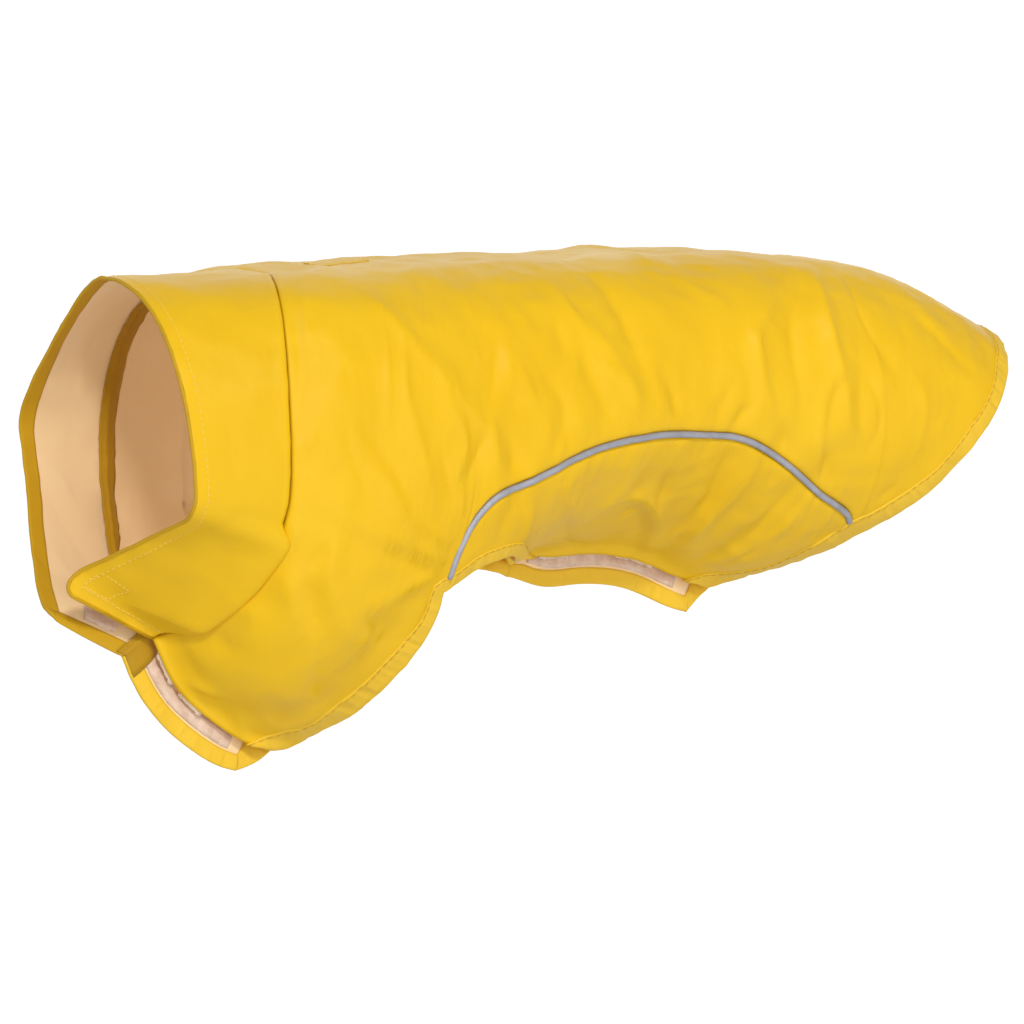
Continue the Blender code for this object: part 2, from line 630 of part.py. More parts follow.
def neck_seam_tape(left, right, finish):
    """Tape over the neck seam, on the inner faces of the collar and the body."""
    up = both_sides(left.collar_grid, right.collar_grid)[:, 1::-1]
    down = both_sides(left.back_grid, right.back_grid)[:, :2]
    seam = (up[:, 1:] + down[:, :1]) / 2
    grid = np.concatenate([up[:, :1], seam, down[:, 1:]], 1)
    points, outward, base = moved_in(grid, WALL + LAYER_GAP)
    points[1] -= outward[1] * LAYER_GAP    # the seam's row lies in a fold
    cloth("neck_seam_tape", points, outward, base, STRIP_WALL, -1, finish)


def piping(outline, finish):
    """A round cord along the arched seam, between the two panels' edges."""
    name = "piping_" + SIDE_NAME[outline.side]
    path = np.vstack([PIPING_START, outline.arch[:, 1:]])
    middle = on_body(outline.side, path, -WALL / 2)[0] * MM
    curve = bpy.data.curves.new(name, "CURVE")
    curve.dimensions = "3D"
    curve.bevel_depth = PIPING_RADIUS * MM
    curve.bevel_resolution = PIPING_SIDES
    curve.use_fill_caps = True
    line = curve.splines.new("POLY")
    line.points.add(len(middle) - 1)
    for point, place in zip(line.points, middle):
        point.co = (*place, 1)
    line.use_smooth = True
    curve.materials.append(finish)
    bpy.data.collections[COAT].objects.link(bpy.data.objects.new(name, curve))


def hook_patch(name, closing, start, end, finish):
    """Hook tape on the inner face along a closing edge, showing a little past it."""
    grid = lengthways(closing[:, :, -2:], start, end)
    (inset, edge), normals = grid[0].transpose(1, 0, 2), grid[1]
    beyond = edge - inset
    beyond *= HOOK_OVERHANG / np.linalg.norm(beyond, axis=-1, keepdims=True)
    grid = np.stack([
        np.stack([inset, edge, edge + beyond], 1), np.concatenate([normals, normals[:, 1:]], 1)
    ])
    cloth(name, *moved_in(grid, WALL + LAYER_GAP), STRIP_WALL, -1, finish)


def inner_patch(name, closing, start, end, finish):
    """Tape on the inner face, between a closing's binding and its keel line."""
    strip = lengthways(closing[:, :, -3:-1], start, end)
    grid = crossways(strip, PATCH_MARGIN, PATCH_MARGIN + PATCH_WIDTH)
    cloth(name, *moved_in(grid, WALL + LAYER_GAP), STRIP_WALL, -1, finish)


def leash_slit_welt(finish):
    back = np.linspace(WELT_START, WELT_START + WELT_LENGTH, 5)
    girth = np.array([0, WELT_HALF / GIRTH_SCALE])
    places = np.stack(np.broadcast_arrays(back[:, None], girth[None]), -1)
    left, right = (on_body(side, places, LAYER_GAP) for side in (-1, 1))
    points = both_sides(left[0], right[0])
    outward = both_sides(left[1], right[1])
    cloth("leash_slit_welt", points, outward, points, STRIP_WALL, 1, finish)


def bindings(left, right, finish):
    seam = LAYER_GAP
    for outline in (left, right):
        binding("binding_leg_" + SIDE_NAME[outline.side], outline.leg_grid(), 0, 0, finish)
    chest = right.back_grid[:, 1:len(right.chest), :-3:-1]
    binding("binding_chest_right", chest, seam, seam, finish)
    belly = right.gusset_grid[:, right.belly_front:right.belly_rear + 1, :-3:-1]
    binding("binding_belly_right", belly, seam, seam, finish)
    rear = np.concatenate([left.rear_grid(), right.rear_grid()[:, -2::-1]], 1)
    binding("binding_rear", rear, 0, 0, finish)


def closing_tapes(left, right, hook, loop):
    sides = (left, right)
    chest = [outline.back_grid[:, :len(outline.chest)] for outline in sides]
    belly = [
        outline.gusset_grid[:, outline.belly_front:outline.belly_rear + 1] for outline in sides
    ]
    for name, (closing, start, end) in HOOK_PATCHES.items():
        hook_patch(name, (chest, belly)[closing][0], start, end, hook)
    for name, (closing, start, end) in LOOP_PATCHES.items():
        inner_patch(name, (chest, belly)[closing][1], start, end, loop)
    for outline, name, finish in ((left, "hook_collar", hook), (right, "loop_collar", loop)):
        inner_patch(name, outline.collar_grid[:, 1:-1], *COLLAR_PATCH, finish)


def clear_scene():
    for thing in list(bpy.data.objects):
        bpy.data.objects.remove(thing)


def main():
    clear_scene()
    bpy.context.scene.collection.children.link(bpy.data.collections.new(COAT))
    rain_cloth = material("yellow rain cloth", (0.80, 0.50, 0.030), 0.34)
    strip_cloth = material("yellow binding", (0.78, 0.47, 0.030), 0.38)
    reflective = material("reflective piping", (0.40, 0.41, 0.50), 0.35, 0.3)
    hook = material("beige hook tape", (0.75, 0.55, 0.36), 0.8)
    loop = material("pinkish beige loop tape", (0.70, 0.50, 0.37), 0.95)
    left, right = Outline(-1), Outline(1)
    back_panel(left, right, rain_cloth)
    collar(left, right, rain_cloth)
    collar_rim_hem(left, right, strip_cloth)
    neck_seam_tape(left, right, strip_cloth)
    for outline in (left, right):
        side_gusset(outline, rain_cloth)
        piping(outline, reflective)
    bindings(left, right, strip_cloth)
    closing_tapes(left, right, hook, loop)
    leash_slit_welt(strip_cloth)


main()
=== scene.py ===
"""Looks of the dog raincoat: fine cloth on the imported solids' form, its trim, stitches and materials.

The dog faces -X, its left side is -Y and +Z is up. Tables are in millimetres. A place on the body
is (side, back, girth): back is the distance behind the neck seam, girth runs from 0 on the back's
centre line to 1 at the right-hand closing edge. A place on the collar is (side, rise, girth).
"""

import math

import bpy
import numpy as np
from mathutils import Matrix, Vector, noise


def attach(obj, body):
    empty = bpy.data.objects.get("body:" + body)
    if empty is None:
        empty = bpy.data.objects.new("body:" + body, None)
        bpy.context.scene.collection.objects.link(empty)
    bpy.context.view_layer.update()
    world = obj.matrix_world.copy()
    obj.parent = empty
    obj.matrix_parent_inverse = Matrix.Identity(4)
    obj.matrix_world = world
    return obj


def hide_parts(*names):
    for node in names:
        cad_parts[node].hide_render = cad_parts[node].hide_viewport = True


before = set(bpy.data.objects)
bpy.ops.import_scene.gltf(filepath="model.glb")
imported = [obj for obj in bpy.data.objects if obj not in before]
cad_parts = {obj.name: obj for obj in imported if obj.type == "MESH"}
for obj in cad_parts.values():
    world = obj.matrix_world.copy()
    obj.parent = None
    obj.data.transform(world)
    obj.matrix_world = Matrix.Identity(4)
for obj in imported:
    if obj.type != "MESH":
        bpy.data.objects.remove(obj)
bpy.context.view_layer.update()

MM = 0.001

# Sizes of the coat, mm
WALL = 1.2            # coated cloth with its backing
STRIP = 0.7           # binding and seam tape
HEM_WALL = 0.5
CLOSING_TAPE_WALL = 0.9    # of hook and loop tape at the chest and the belly
COLLAR_TAPE_WALL = 1.0
WELT_WALL = 0.3
BAND = 8.0            # width of binding and hem
TAPE_HALF = 4.5       # the neck seam tape on the collar's side of the seam
TAPE_BACKS = (0.2, 2.0, 4.0, 6.0, 8.5)    # lines of it on the body's side, behind the seam
CLOSING_HALF = 3.2    # centre plane to the outer face of a closing edge
KEEL = 22.0           # flat part of the right closings
LEFT_KEEL = 19.0      # and of the left ones
FLAP = 17.0           # how far the right closing edges pass the left ones
ORIGIN_BACK = 40.0    # the origin is this far behind the neck seam,
ORIGIN_HEIGHT = -0.5  # on the inner face of the back there
CLOSING_ROUND = 12.0  # how far the bend above the closings is rounded, each way along the cloth
SEAM_PULL = 1.3       # panel edge to the arched seam line, under the piping
PIPING_RADIUS = 1.8
PIPING_START = (96.4, 0.622)    # back and girth of its front end
COLLAR_FLAP = 12.0    # how far the collar's right end passes its left one, at the rim
COLLAR_UNIT = 70.0    # usual height of the collar
COLLAR_START = 0.1    # the collar's lower edge to the neck seam line
BACK_FREE_KEEL = 1 / 18     # where no closing is, the keel line's share of the way from the inset
GUSSET_FREE_KEEL = 1 / 9    # to the centre line, and on the belly sides to the arched seam
CORNER_ROUND = 0.16   # how far the flaps' corners are blunted, as a share of their mitre
WELT_START = 33.0     # leash slit, behind the neck seam
WELT_LENGTH = 38.0
WELT_HALF = 3.0
HOOK_ACROSS = (-1.7, 8.4)     # how far from the closing's edge hook tape starts and ends
LOOP_ACROSS = (8.2, 18.5)     # and loop tape
KEEL_FILLED = 0.8     # the share of a closing's flat part that its tape may reach
TAPE_GAP = 0.1        # between a tape and the cloth
CLOTH_IN_BAND = 0.85  # the share of a band's width that the cloth under it fills,
CLOTH_IN_JOIN = 0.6   # and where the arched seam meets the band

# How the cloth falls
CREASE_DEPTH = 1.3    # what all the creases' heights are multiplied by
CREST = 0.7           # how far the top of a narrow crease is rounded
WIDE_CREASE = 13      # a crease with at least this reach has a rounder top
LEG_BAND_SPARE = 0.85     # how much wider the band is in the middle of the leg opening's front,
REAR_BAND_SPARE = 1.1     # and under the belly
COLLAR_MIDDLE = (-60, 0, -90)    # a point inside the collar
LAPEL_DROP = 11.8     # how far the collar's turned front hangs over the neck seam, before its hold
LAPEL_LIFT = 7.4      # and how far it stands off the chest
LAPEL_STARTS = (0.585, 0.625)    # girths where it starts
LAPEL_ENDS = (0.83, 0.94)        # and where it ends
RIGHT_LAPEL = 0.55    # the right side's share of it

# Cells of the fine grids
FINE = 2.5            # usual length of a cell, mm
BACK_CELLS = (64, 5, 4)      # centre line to keel line, to the band's inner line, to the edge
GUSSET_CELLS = (40, 5, 4)
COLLAR_CELLS = (84, 5, 4)
COLLAR_RISE = (5, 26, 5)     # beside the seam tape, between, and in the hem
BAND_LINES = 9        # lines of the cloth that a band follows
OUTER_LINES = (0, 0.05, 0.11, 0.18, 0.28, 0.42, 0.6, 0.8, 1)    # its own lines outside
ARC_STEPS = 60
NUDGE = 0.5           # step for slopes, mm
GIRTH_SCALE = 350.0   # usual length of a half section, mm
THREAD_PITCH = 0.00055    # of the weave, m
STITCH_DIP = (-0.28, 0.06, 0.16, 0.06, -0.28)    # how far a stitch's rings stand off the cloth

# Studio
SKY, BOUNCE = 0.42, 0.60
SUNS = (  # name, strength, direction it comes from, size in degrees
    ("soft key", 1.52, (-0.42, -0.68, 0.60), 8),
    ("soft fill", 0.62, (-0.20, -0.97, 0.12), 34),
    ("low fill", 0.52, (0.06, -0.87, -0.49), 60),
    ("far fill", 0.60, (0.40, 0.90, 0.15), 60),
)
FLOOR_HEIGHT = -620.0     # where the dog's feet are, mm
FLOOR_REACH = 80000.0
FLOOR_GLOW = 0.36
CAMERA_TARGET = (0.1394, 0.0144, -0.1401)    # m
CAMERA_SIDE = (-0.6111, -0.7821, 0.1219)     # the direction from there to the camera
CAMERA_DISTANCE = 4.0
LENS = 262.9

SIDES = (-1, 1)
SIDE_NAME = {-1: "left", 1: "right"}
LEG_ROWS = 10
ARCH_ROWS = 20
REAR_ROWS = 14
LEG_REAR_ROWS = 9
BELLY_ROWS = 6
REAR_LOWER_ROWS = ARCH_ROWS + 2 - LEG_REAR_ROWS - BELLY_ROWS

SECTION_COLUMNS = (
    "x_top", "z_top", "x_side", "z_side", "x_bottom", "z_bottom", "half_width", "crown",
    "upper", "lower", "lean",
)
BODY_SECTIONS = {  # back: section
    0: (0, 0, -38, -105, -83, -194, 83, 13, 2.65, 1.6, 60),
    25: (25, 1, -16, -106, -63, -228, 91, 14, 2.8, 1.8, 48),
    42: (42, 1, 3, -108, -37, -248, 93, 15, 2.7, 1.8, 44),
    60: (60, 1, 22, -110, -8, -263, 95, 16, 2.6, 1.7, 36),
    110: (110, 0, 80, -105, 70, -245, 96, 18, 2.5, 1.7, 0),
    160: (160, -1, 143, -92, 146, -186, 94, 18, 2.5, 1.7, 0),
    200: (200, -2, 190, -84, 193, -180, 91, 18, 2.5, 1.6, 0),
    260: (260, -4, 255, -80, 254, -187, 88, 18, 2.4, 1.5, 0),
    290: (290, -5, 288, -81, 286, -202, 88, 18, 2.4, 1.6, 0),
    320: (320, -8, 318, -82, 315, -206, 88, 18, 2.4, 1.7, 0),
    390: (390, -18, 388, -92, 385, -200, 88, 16, 2.3, 1.9, 0),
    450: (450, -41, 446, -108, 440, -200, 84, 14, 2.2, 2.0, 0),
    500: (500, -68, 494, -125, 488, -200, 76, 12, 2.1, 2.0, 0),
}
# The collar's rim by side, and how its front ends meet: flat part, and half the distance apart
RIM_SECTIONS = {
    -1: (-93, 1.5, -95, -111, -130, -167, 80.5, 6, 1.95, 0.94, 30),
    1: (-93, 1.5, -87, -78, -120, -172, 90, 10, 1.15, 1.35, 11),
}
RIM_CLOSING = {-1: (KEEL, CLOSING_HALF), 1: (2.0, 17.0)}
CHEST_EDGE = ((0, 0, 1.0), (4.5, 4.5, 1.0), (17, 18, 1.0), (30, 31, 1.0), (43, 45, 1.0), (56, 57, 1.0))
LEG_FRONT_EDGE = (
    (56, 57, 1.0), (62, 65, 0.975), (72, 74, 0.935), (80, 80, 0.868), (88, 88, 0.80),
    (96, 94, 0.725), (103, 96, 0.68), (108, 96, 0.645),
)
ARCH_SEAM = (
    (113, 97.6, 0.59), (118, 99, 0.57), (123, 106, 0.53), (130, 118, 0.517), (141, 134, 0.53),
    (157, 152, 0.536), (178, 176, 0.533), (204, 203, 0.53), (237, 237, 0.54), (272, 274, 0.55),
    (294, 298, 0.58), (316, 323, 0.628), (342, 355, 0.695), (345, 361, 0.72),
)
REAR_EDGE = (
    (350, 368, 0.748), (362, 380, 0.705), (382, 396, 0.64), (398, 412, 0.562),
    (413, 427, 0.487), (430, 443, 0.412), (448, 457, 0.325), (464, 471, 0.225),
    (476, 483, 0.115), (483, 491, 0.0),
)
LEG_REAR_EDGE = {
    -1: (
        (96, 0.645), (109, 0.632), (124, 0.635), (139, 0.695), (158, 0.82), (172, 0.925), (181, 1.0),
    ),
    1: (
        (96, 0.645), (109, 0.632), (124, 0.635), (139, 0.72), (152, 0.86), (164, 0.94), (176, 0.975),
    ),
}
BELLY_EDGE = {
    -1: ((181, 1.0), (192, 1.0), (237, 1.0), (283, 1.0), (294, 1.0)),
    1: ((176, 0.975), (189, 0.99), (202, 1.0), (237, 1.0), (283, 1.0), (294, 1.0)),
}
REAR_LOWER_EDGE = ((294, 1.0), (303, 0.965), (318, 0.93), (337, 0.885), (353, 0.82), (368, 0.748))

# Tapes on the closings: 0 for the chest's or 1 for the belly's, and the distances along its edge
HOOK_PATCHES = {
    "hook_chest_upper": (0, 10.0, 29.0),
    "hook_chest_lower": (0, 36.0, 54.0),
    "hook_belly_front": (1, 12.0, 32.0),
    "hook_belly_rear": (1, 64.0, 92.0),
}
LOOP_PATCHES = {"loop_chest": (0, 6.0, 86.0), "loop_belly": (1, 12.0, 112.0)}
COLLAR_PATCH = slice(11, 23)            # the collar's rows that have a tape at both front ends,
COLLAR_PATCH_COLUMNS = (9, 8, 7, 6, 5)    # and its columns there, counted from each end

# Creases of the left side: places (back, girth) along the crest, reach to the front and to the
# rear, and height outwards
CREASES = (
    (((49, 0.203), (55, 0.212), (73, 0.278), (91, 0.343), (107, 0.405)), 6, 8, 2.6),
    (((65, 0.263), (64, 0.347), (72, 0.425), (78, 0.485)), 9, 4, 1.8),
    (((84, 0.333), (95, 0.415), (89, 0.475)), 9, 4, 1.6),
    (((110, 0.405), (114, 0.487)), 6, 6, 2),
    (((108, 0.417), (96, 0.475)), 4, 5, -1.6),
    (((116, 0.42), (129, 0.515)), 5, 5, -1.4),
    (((29, 0.405), (41, 0.48)), 5, 6, -1.3),
    (((38, 0.388), (56, 0.45), (72, 0.53)), 5, 7, -1.8),
    (((6, 0.21), (7, 0.307), (3, 0.435)), 5, 7, -1.4),
    (((14, 0.175), (11, 0.287)), 4, 4, 1),
    (((26, 0.268), (16, 0.347)), 11, 11, -1.6),
    (((6, 0.43), (14, 0.445)), 4, 4, 1.1),
    (((21, 0.527), (58, 0.542), (92, 0.593)), 5, 7, 1.8),
    (((52, 0.47), (88, 0.562)), 5, 5, 1.5),
    (((46, 0.432), (70, 0.522)), 6, 6, 1.5),
    (((16, 0.545), (56, 0.557), (88, 0.603)), 6, 6, -1.4),
    (((51, 0.64), (89, 0.608)), 6, 7, 1.8),
    (((82, 0.432), (90, 0.505)), 4, 4, -1.5),
    (((93, 0.477), (95, 0.527)), 4, 4, 1.1),
    (((118, 0.285), (111, 0.375)), 6, 6, -1.5),
    (((123, 0.3), (121, 0.36)), 5, 5, 1),
    (((127, 0.33), (138, 0.443), (139, 0.49)), 6, 6, 1.8),
    (((132, 0.237), (142, 0.35)), 4, 5, 1.2),
    (((138, 0.372), (149, 0.43), (147, 0.485)), 6, 7, -1.9),
    (((150, 0.28), (152, 0.345)), 5, 5, -1.2),
    (((156, 0.21), (163, 0.29), (178, 0.37), (188, 0.43), (191, 0.505)), 7, 7, 2.6),
    (((160, 0.36), (166, 0.42), (177, 0.497)), 6, 6, -1.7),
    (((171, 0.372), (177, 0.4), (189, 0.445)), 4, 4, 1),
    (((182, 0.16), (188, 0.255), (191, 0.33), (196, 0.393), (197, 0.44)), 9, 9, -2.3),
    (((237, 0.007), (224, 0.21)), 9, 9, 1.6),
    (((202, 0.42), (207, 0.507)), 5, 5, 1.3),
    (((213, 0.427), (218, 0.505)), 5, 5, -1.4),
    (((228, 0.468), (232, 0.532)), 5, 5, 1.3),
    (((245, 0.482), (238, 0.532)), 4, 4, 1.2),
    (((155, 0.46), (163, 0.507)), 4, 4, 1.1),
    (((148, 0.487), (145, 0.517)), 4, 4, 1.1),
    (((253, 0.438), (241, 0.517)), 5, 6, -1.3),
    (((265, 0.475), (255, 0.537)), 5, 5, -1.3),
    (((276, 0.485), (299, 0.557)), 6, 6, -1.6),
    (((269, 0.335), (273, 0.39)), 6, 6, 1.5),
    (((262, 0.407), (265, 0.468)), 5, 5, -1.1),
    (((330, 0.15), (296, 0.24), (272, 0.335), (271, 0.42), (284, 0.52)), 11, 6, 2.2),
    (((320, 0.21), (297, 0.325), (296, 0.45)), 8, 8, -2.2),
    (((336, 0.147), (322, 0.292), (324, 0.383), (333, 0.502)), 8, 7, 2.6),
    (((357, 0.17), (350, 0.275), (355, 0.347), (366, 0.403)), 9, 9, -2.4),
    (((319, 0.398), (312, 0.525), (320, 0.585)), 5, 6, 1.5),
    (((339, 0.39), (340, 0.47), (348, 0.54)), 9, 9, -2),
    (((377, 0.393), (384, 0.46), (381, 0.555)), 8, 8, 1.4),
    (((388, 0.26), (412, 0.33), (425, 0.37)), 10, 10, -2),
    (((320, 0.555), (329, 0.615)), 5, 5, -1.3),
    (((6, 0.745), (15, 0.738)), 5, 5, 1.4),
    (((8, 0.82), (19, 0.818)), 5, 6, -1.5),
    (((8, 0.652), (26, 0.685), (44, 0.73)), 10, 8, 2.6),
    (((22, 0.64), (40, 0.71)), 6, 6, -2),
    (((26, 0.58), (20, 0.623)), 4, 5, -1.4),
    (((28, 0.573), (32, 0.627), (47, 0.677), (57, 0.698)), 7, 8, 2.2),
    (((57, 0.698), (75, 0.693)), 5, 5, 1.5),
    (((41, 0.71), (53, 0.787)), 5, 5, -1.4),
    (((6, 0.58), (8, 0.61)), 4, 4, 1.4),
    (((73, 0.708), (57, 0.657)), 4, 5, -1.6),
    (((59, 0.807), (46, 0.77)), 4, 4, -1.6),
    (((54, 0.88), (42, 0.84)), 4, 4, -1.4),
    (((52, 0.953), (38, 0.9)), 4, 4, 1.3),
    (((21, 0.92), (31, 0.9)), 5, 5, 1.4),
    (((158, 0.555), (157, 0.61), (179, 0.728)), 5, 6, 1.5),
    (((150, 0.603), (192, 0.833), (221, 0.948)), 5, 5, -1.5),
    (((197, 0.652), (228, 0.733), (252, 0.887), (240, 0.955)), 6, 7, 1.8),
    (((225, 0.623), (230, 0.71)), 6, 6, -1.4),
    (((246, 0.6), (258, 0.755), (263, 0.94)), 7, 8, 2),
    (((274, 0.573), (266, 0.72), (275, 0.877)), 7, 9, 2.3),
    (((258, 0.583), (259, 0.7), (256, 0.805)), 6, 6, -1.9),
    (((216, 0.682), (210, 0.765)), 5, 5, -1.3),
    (((306, 0.623), (290, 0.785), (281, 0.875)), 8, 8, -2.6),
    (((319, 0.627), (306, 0.762), (301, 0.812)), 5, 5, 1.5),
    (((134, 0.57), (137, 0.655)), 5, 6, 1.4),
    (((120, 0.547), (121, 0.608)), 5, 5, -1.2),
    (((190, 0.69), (203, 0.675), (218, 0.695), (235, 0.752), (249, 0.823), (260, 0.94)), 4, 4, 2),
    (((210, 0.757), (222, 0.745), (253, 0.895)), 6, 6, -1.8),
    (((257, 0.725), (264, 0.835), (269, 0.932)), 5, 5, -1.6),
    (((277, 0.578), (275, 0.63), (269, 0.72), (267, 0.828), (269, 0.932)), 3, 3, 1.3),
    (((317, 0.627), (309, 0.708), (304, 0.792), (296, 0.85)), 3, 3, -1.3),
    (((259, 0.56), (263, 0.652), (257, 0.745)), 3, 3, -1),
    (((222, 0.623), (226, 0.67), (231, 0.733)), 3, 3, -0.9),
    # fine sharp ones
    (((157, 0.215), (169, 0.323), (187, 0.412)), 2.6, 2.6, -1),
    (((161, 0.347), (169, 0.415), (176, 0.477)), 2.6, 2.6, -0.8),
    (((128, 0.333), (134, 0.383), (139, 0.465)), 2.6, 2.6, -0.9),
    (((133, 0.235), (137, 0.295), (142, 0.347)), 2.6, 2.6, -0.7),
    (((117, 0.37), (123, 0.39), (126, 0.388)), 2.4, 2.4, -0.7),
    (((200, 0.417), (202, 0.448), (208, 0.502)), 2.6, 2.6, -1),
    (((210, 0.42), (214, 0.463), (217, 0.495)), 2.6, 2.6, -0.8),
    (((265, 0.415), (266, 0.448), (269, 0.477)), 2.6, 2.6, -1),
    (((272, 0.347), (273, 0.367), (274, 0.388)), 2.4, 2.4, -0.9),
    (((253, 0.535), (258, 0.502), (264, 0.48)), 2.6, 2.6, -1),
    (((228, 0.49), (230, 0.507), (233, 0.53)), 2.6, 2.6, -0.9),
    (((319, 0.545), (321, 0.573), (322, 0.605)), 3.5, 3.5, -1.4),
    (((329, 0.395), (318, 0.455), (315, 0.505)), 3.5, 3.5, -1.1),
    (((344, 0.395), (351, 0.443), (354, 0.495), (348, 0.547)), 3.5, 3.5, -1.1),
    (((121, 0.472), (122, 0.485), (123, 0.5)), 2.6, 2.6, -1.3),
    (((121, 0.52), (123, 0.54), (125, 0.565)), 2.6, 2.6, -1.3),
    (((126, 0.53), (127, 0.547), (129, 0.568)), 2.4, 2.4, -1.1),
    (((375, 0.62), (370, 0.635), (365, 0.65)), 2.6, 2.6, -0.8),
    (((53, 0.4), (55, 0.29), (54, 0.233)), 3.5, 3.5, 0.8),
)
# How the cloth flares along the front of the leg openings, as creases of both sides
LEG_FLARE = (
    (((50, 0.95), (60, 0.945), (70, 0.935), (80, 0.868), (88, 0.80), (94, 0.725), (96, 0.66)), 7, 7, 3.6),
    (((32, 0.90), (50, 0.87), (61, 0.81), (69, 0.74), (75, 0.67), (79, 0.61)), 17, 17, -3.6),
)
# A crease of the right side that shows inside, by the neck
INNER_CREASES = (
    (((2, 0.585), (40, 0.56), (92, 0.51)), 7, 7, 1.3),
)
# Creases of the collar, as (rise, girth)
COLLAR_CREASES = {
    -1: (
        (((1.0, 0.603), (0.5, 0.603), (0.0, 0.603)), 12, 12, 1.9),
        (((0.60, 0.905), (0.31, 0.87), (0.15, 0.843), (0.02, 0.82)), 8, 8, 2.3),
        (((0.34, 0.945), (0.10, 0.955)), 4, 4, 1.2),
        (((1.0, 0.835), (0.74, 0.855), (0.48, 0.885)), 8, 8, 1.3),
        (((0.62, 0.64), (0.40, 0.71), (0.22, 0.79)), 11, 11, -1.4),
        (((0.92, 0.15), (0.30, 0.19)), 14, 12, 0.9),
        (((0.10, 0.22), (0.16, 0.38)), 9, 9, -0.8),
        (((0.72, 0.36), (0.60, 0.52)), 13, 13, -0.8),
    ),
    1: (
        (((1.0, 0.505), (0.5, 0.54), (0.0, 0.585)), 7, 7, 1.6),
        (((0.95, 0.17), (0.25, 0.21)), 14, 12, 1.0),
        (((0.55, 0.30), (0.30, 0.44)), 10, 10, -1.0),
        (((0.90, 0.62), (0.52, 0.72), (0.20, 0.80)), 9, 11, 1.5),
        (((0.66, 0.58), (0.40, 0.66)), 9, 9, -1.3),
        (((0.80, 0.78), (0.40, 0.88)), 7, 8, -1.2),
    ),
}


def run_along(points):
    """Distances along lines of points (..., n, 3) from the first of each."""
    steps = np.linalg.norm(np.diff(points, axis=-2), axis=-1)
    return np.concatenate([np.zeros(steps.shape[:-1] + (1,)), np.cumsum(steps, -1)], -1)


def fair(x, knots, values):
    """Values at x of a smooth line through the knots, with no bump between them."""
    knots = np.asarray(knots, float)
    values = np.asarray(values, float)
    run = np.diff(knots)
    rise = np.diff(values) / run
    slope = np.empty_like(values)
    slope[0], slope[-1] = rise[0], rise[-1]
    mean = (rise[:-1] * run[1:] + rise[1:] * run[:-1]) / (run[:-1] + run[1:])
    slope[1:-1] = np.where(rise[:-1] * rise[1:] > 0, mean, 0.0)
    k = np.clip(np.searchsorted(knots, x, side="right") - 1, 0, len(run) - 1)
    t = (x - knots[k]) / run[k]
    start = (1 + 2 * t) * (1 - t) ** 2 * values[k] + t * (1 - t) ** 2 * run[k] * slope[k]
    return start + t * t * (3 - 2 * t) * values[k + 1] - t * t * (1 - t) * run[k] * slope[k + 1]


def section_curve(section, keel=KEEL, closing_half=CLOSING_HALF):
    """Points of one half section, (..., n, 3), from the centre line to the closing edge."""
    columns = dict(zip(SECTION_COLUMNS, (np.asarray(c, float)[..., None] for c in section)))
    x_side, z_side = columns["x_side"], columns["z_side"]
    half, crown = columns["half_width"], columns["crown"]
    lean = np.radians(columns["lean"])
    turn = np.linspace(0, np.pi / 2, ARC_STEPS)
    y_up = crown + (half - crown) * np.sin(turn) ** (2 / columns["upper"])
    z_up = z_side + (columns["z_top"] - z_side) * np.cos(turn) ** (2 / columns["upper"])
    out = (y_up - crown) / (half - crown)
    x_up = columns["x_top"] + (x_side - columns["x_top"]) * out ** 0.9
    x_keel = columns["x_bottom"] + keel * np.sin(lean)
    z_keel = columns["z_bottom"] + keel * np.cos(lean)
    fall = np.sin(turn[1:]) ** (2 / columns["lower"])
    inward = np.abs(np.cos(turn[1:])) ** (2 / columns["lower"])
    y_down = closing_half + (half - closing_half) * inward
    z_down = z_side + (z_keel - z_side) * fall
    x_down = x_side + (x_keel - x_side) * fall ** 1.7
    none = np.zeros_like(half)
    x = np.concatenate([columns["x_top"] + none, x_up, x_down, columns["x_bottom"] + none], -1)
    y = np.concatenate([none, y_up, y_down, none + closing_half], -1)
    z = np.concatenate([columns["z_top"] + none, z_up, z_down, columns["z_bottom"] + none], -1)
    return np.stack([x, y, z], -1)


def at_share(curve, share):
    """The point at this share of each curve's length."""
    steps = np.linalg.norm(np.diff(curve, axis=-2), axis=-1)
    run = run_along(curve)
    want = share * run[..., -1]
    k = np.clip((run[..., :-1] <= want[..., None]).sum(-1) - 1, 0, steps.shape[-1] - 1)[..., None]
    past = want - np.take_along_axis(run, k, -1)[..., 0]
    part = past / np.maximum(np.take_along_axis(steps, k, -1)[..., 0], 1e-9)
    low = np.take_along_axis(curve, k[..., None].repeat(3, -1), -2)[..., 0, :]
    high = np.take_along_axis(curve, (k + 1)[..., None].repeat(3, -1), -2)[..., 0, :]
    return low + part[..., None] * (high - low)


def rounded(curve, share):
    """The same, averaged with points before and after it, so that the closings' bend is round."""
    length = np.linalg.norm(np.diff(curve, axis=-2), axis=-1).sum(-1)
    reach = np.minimum(CLOSING_ROUND / length, np.minimum(share, 1 - share))
    places = [(k, at_share(curve, np.clip(share + k * reach, 0, 1))) for k in (-1, -0.5, 0, 0.5, 1)]
    return sum((0.125 if abs(k) == 1 else 0.25) * place for k, place in places)


def body_section(back):
    """The columns of the section that lies this far behind the neck seam."""
    knots = list(BODY_SECTIONS)
    table = np.array([BODY_SECTIONS[k] for k in knots], float)
    back = np.clip(back, knots[0], knots[-1])
    return [fair(back, knots, table[:, column]) for column in range(table.shape[1])]


def body_points(back, girth):
    return rounded(section_curve(body_section(back)), girth)


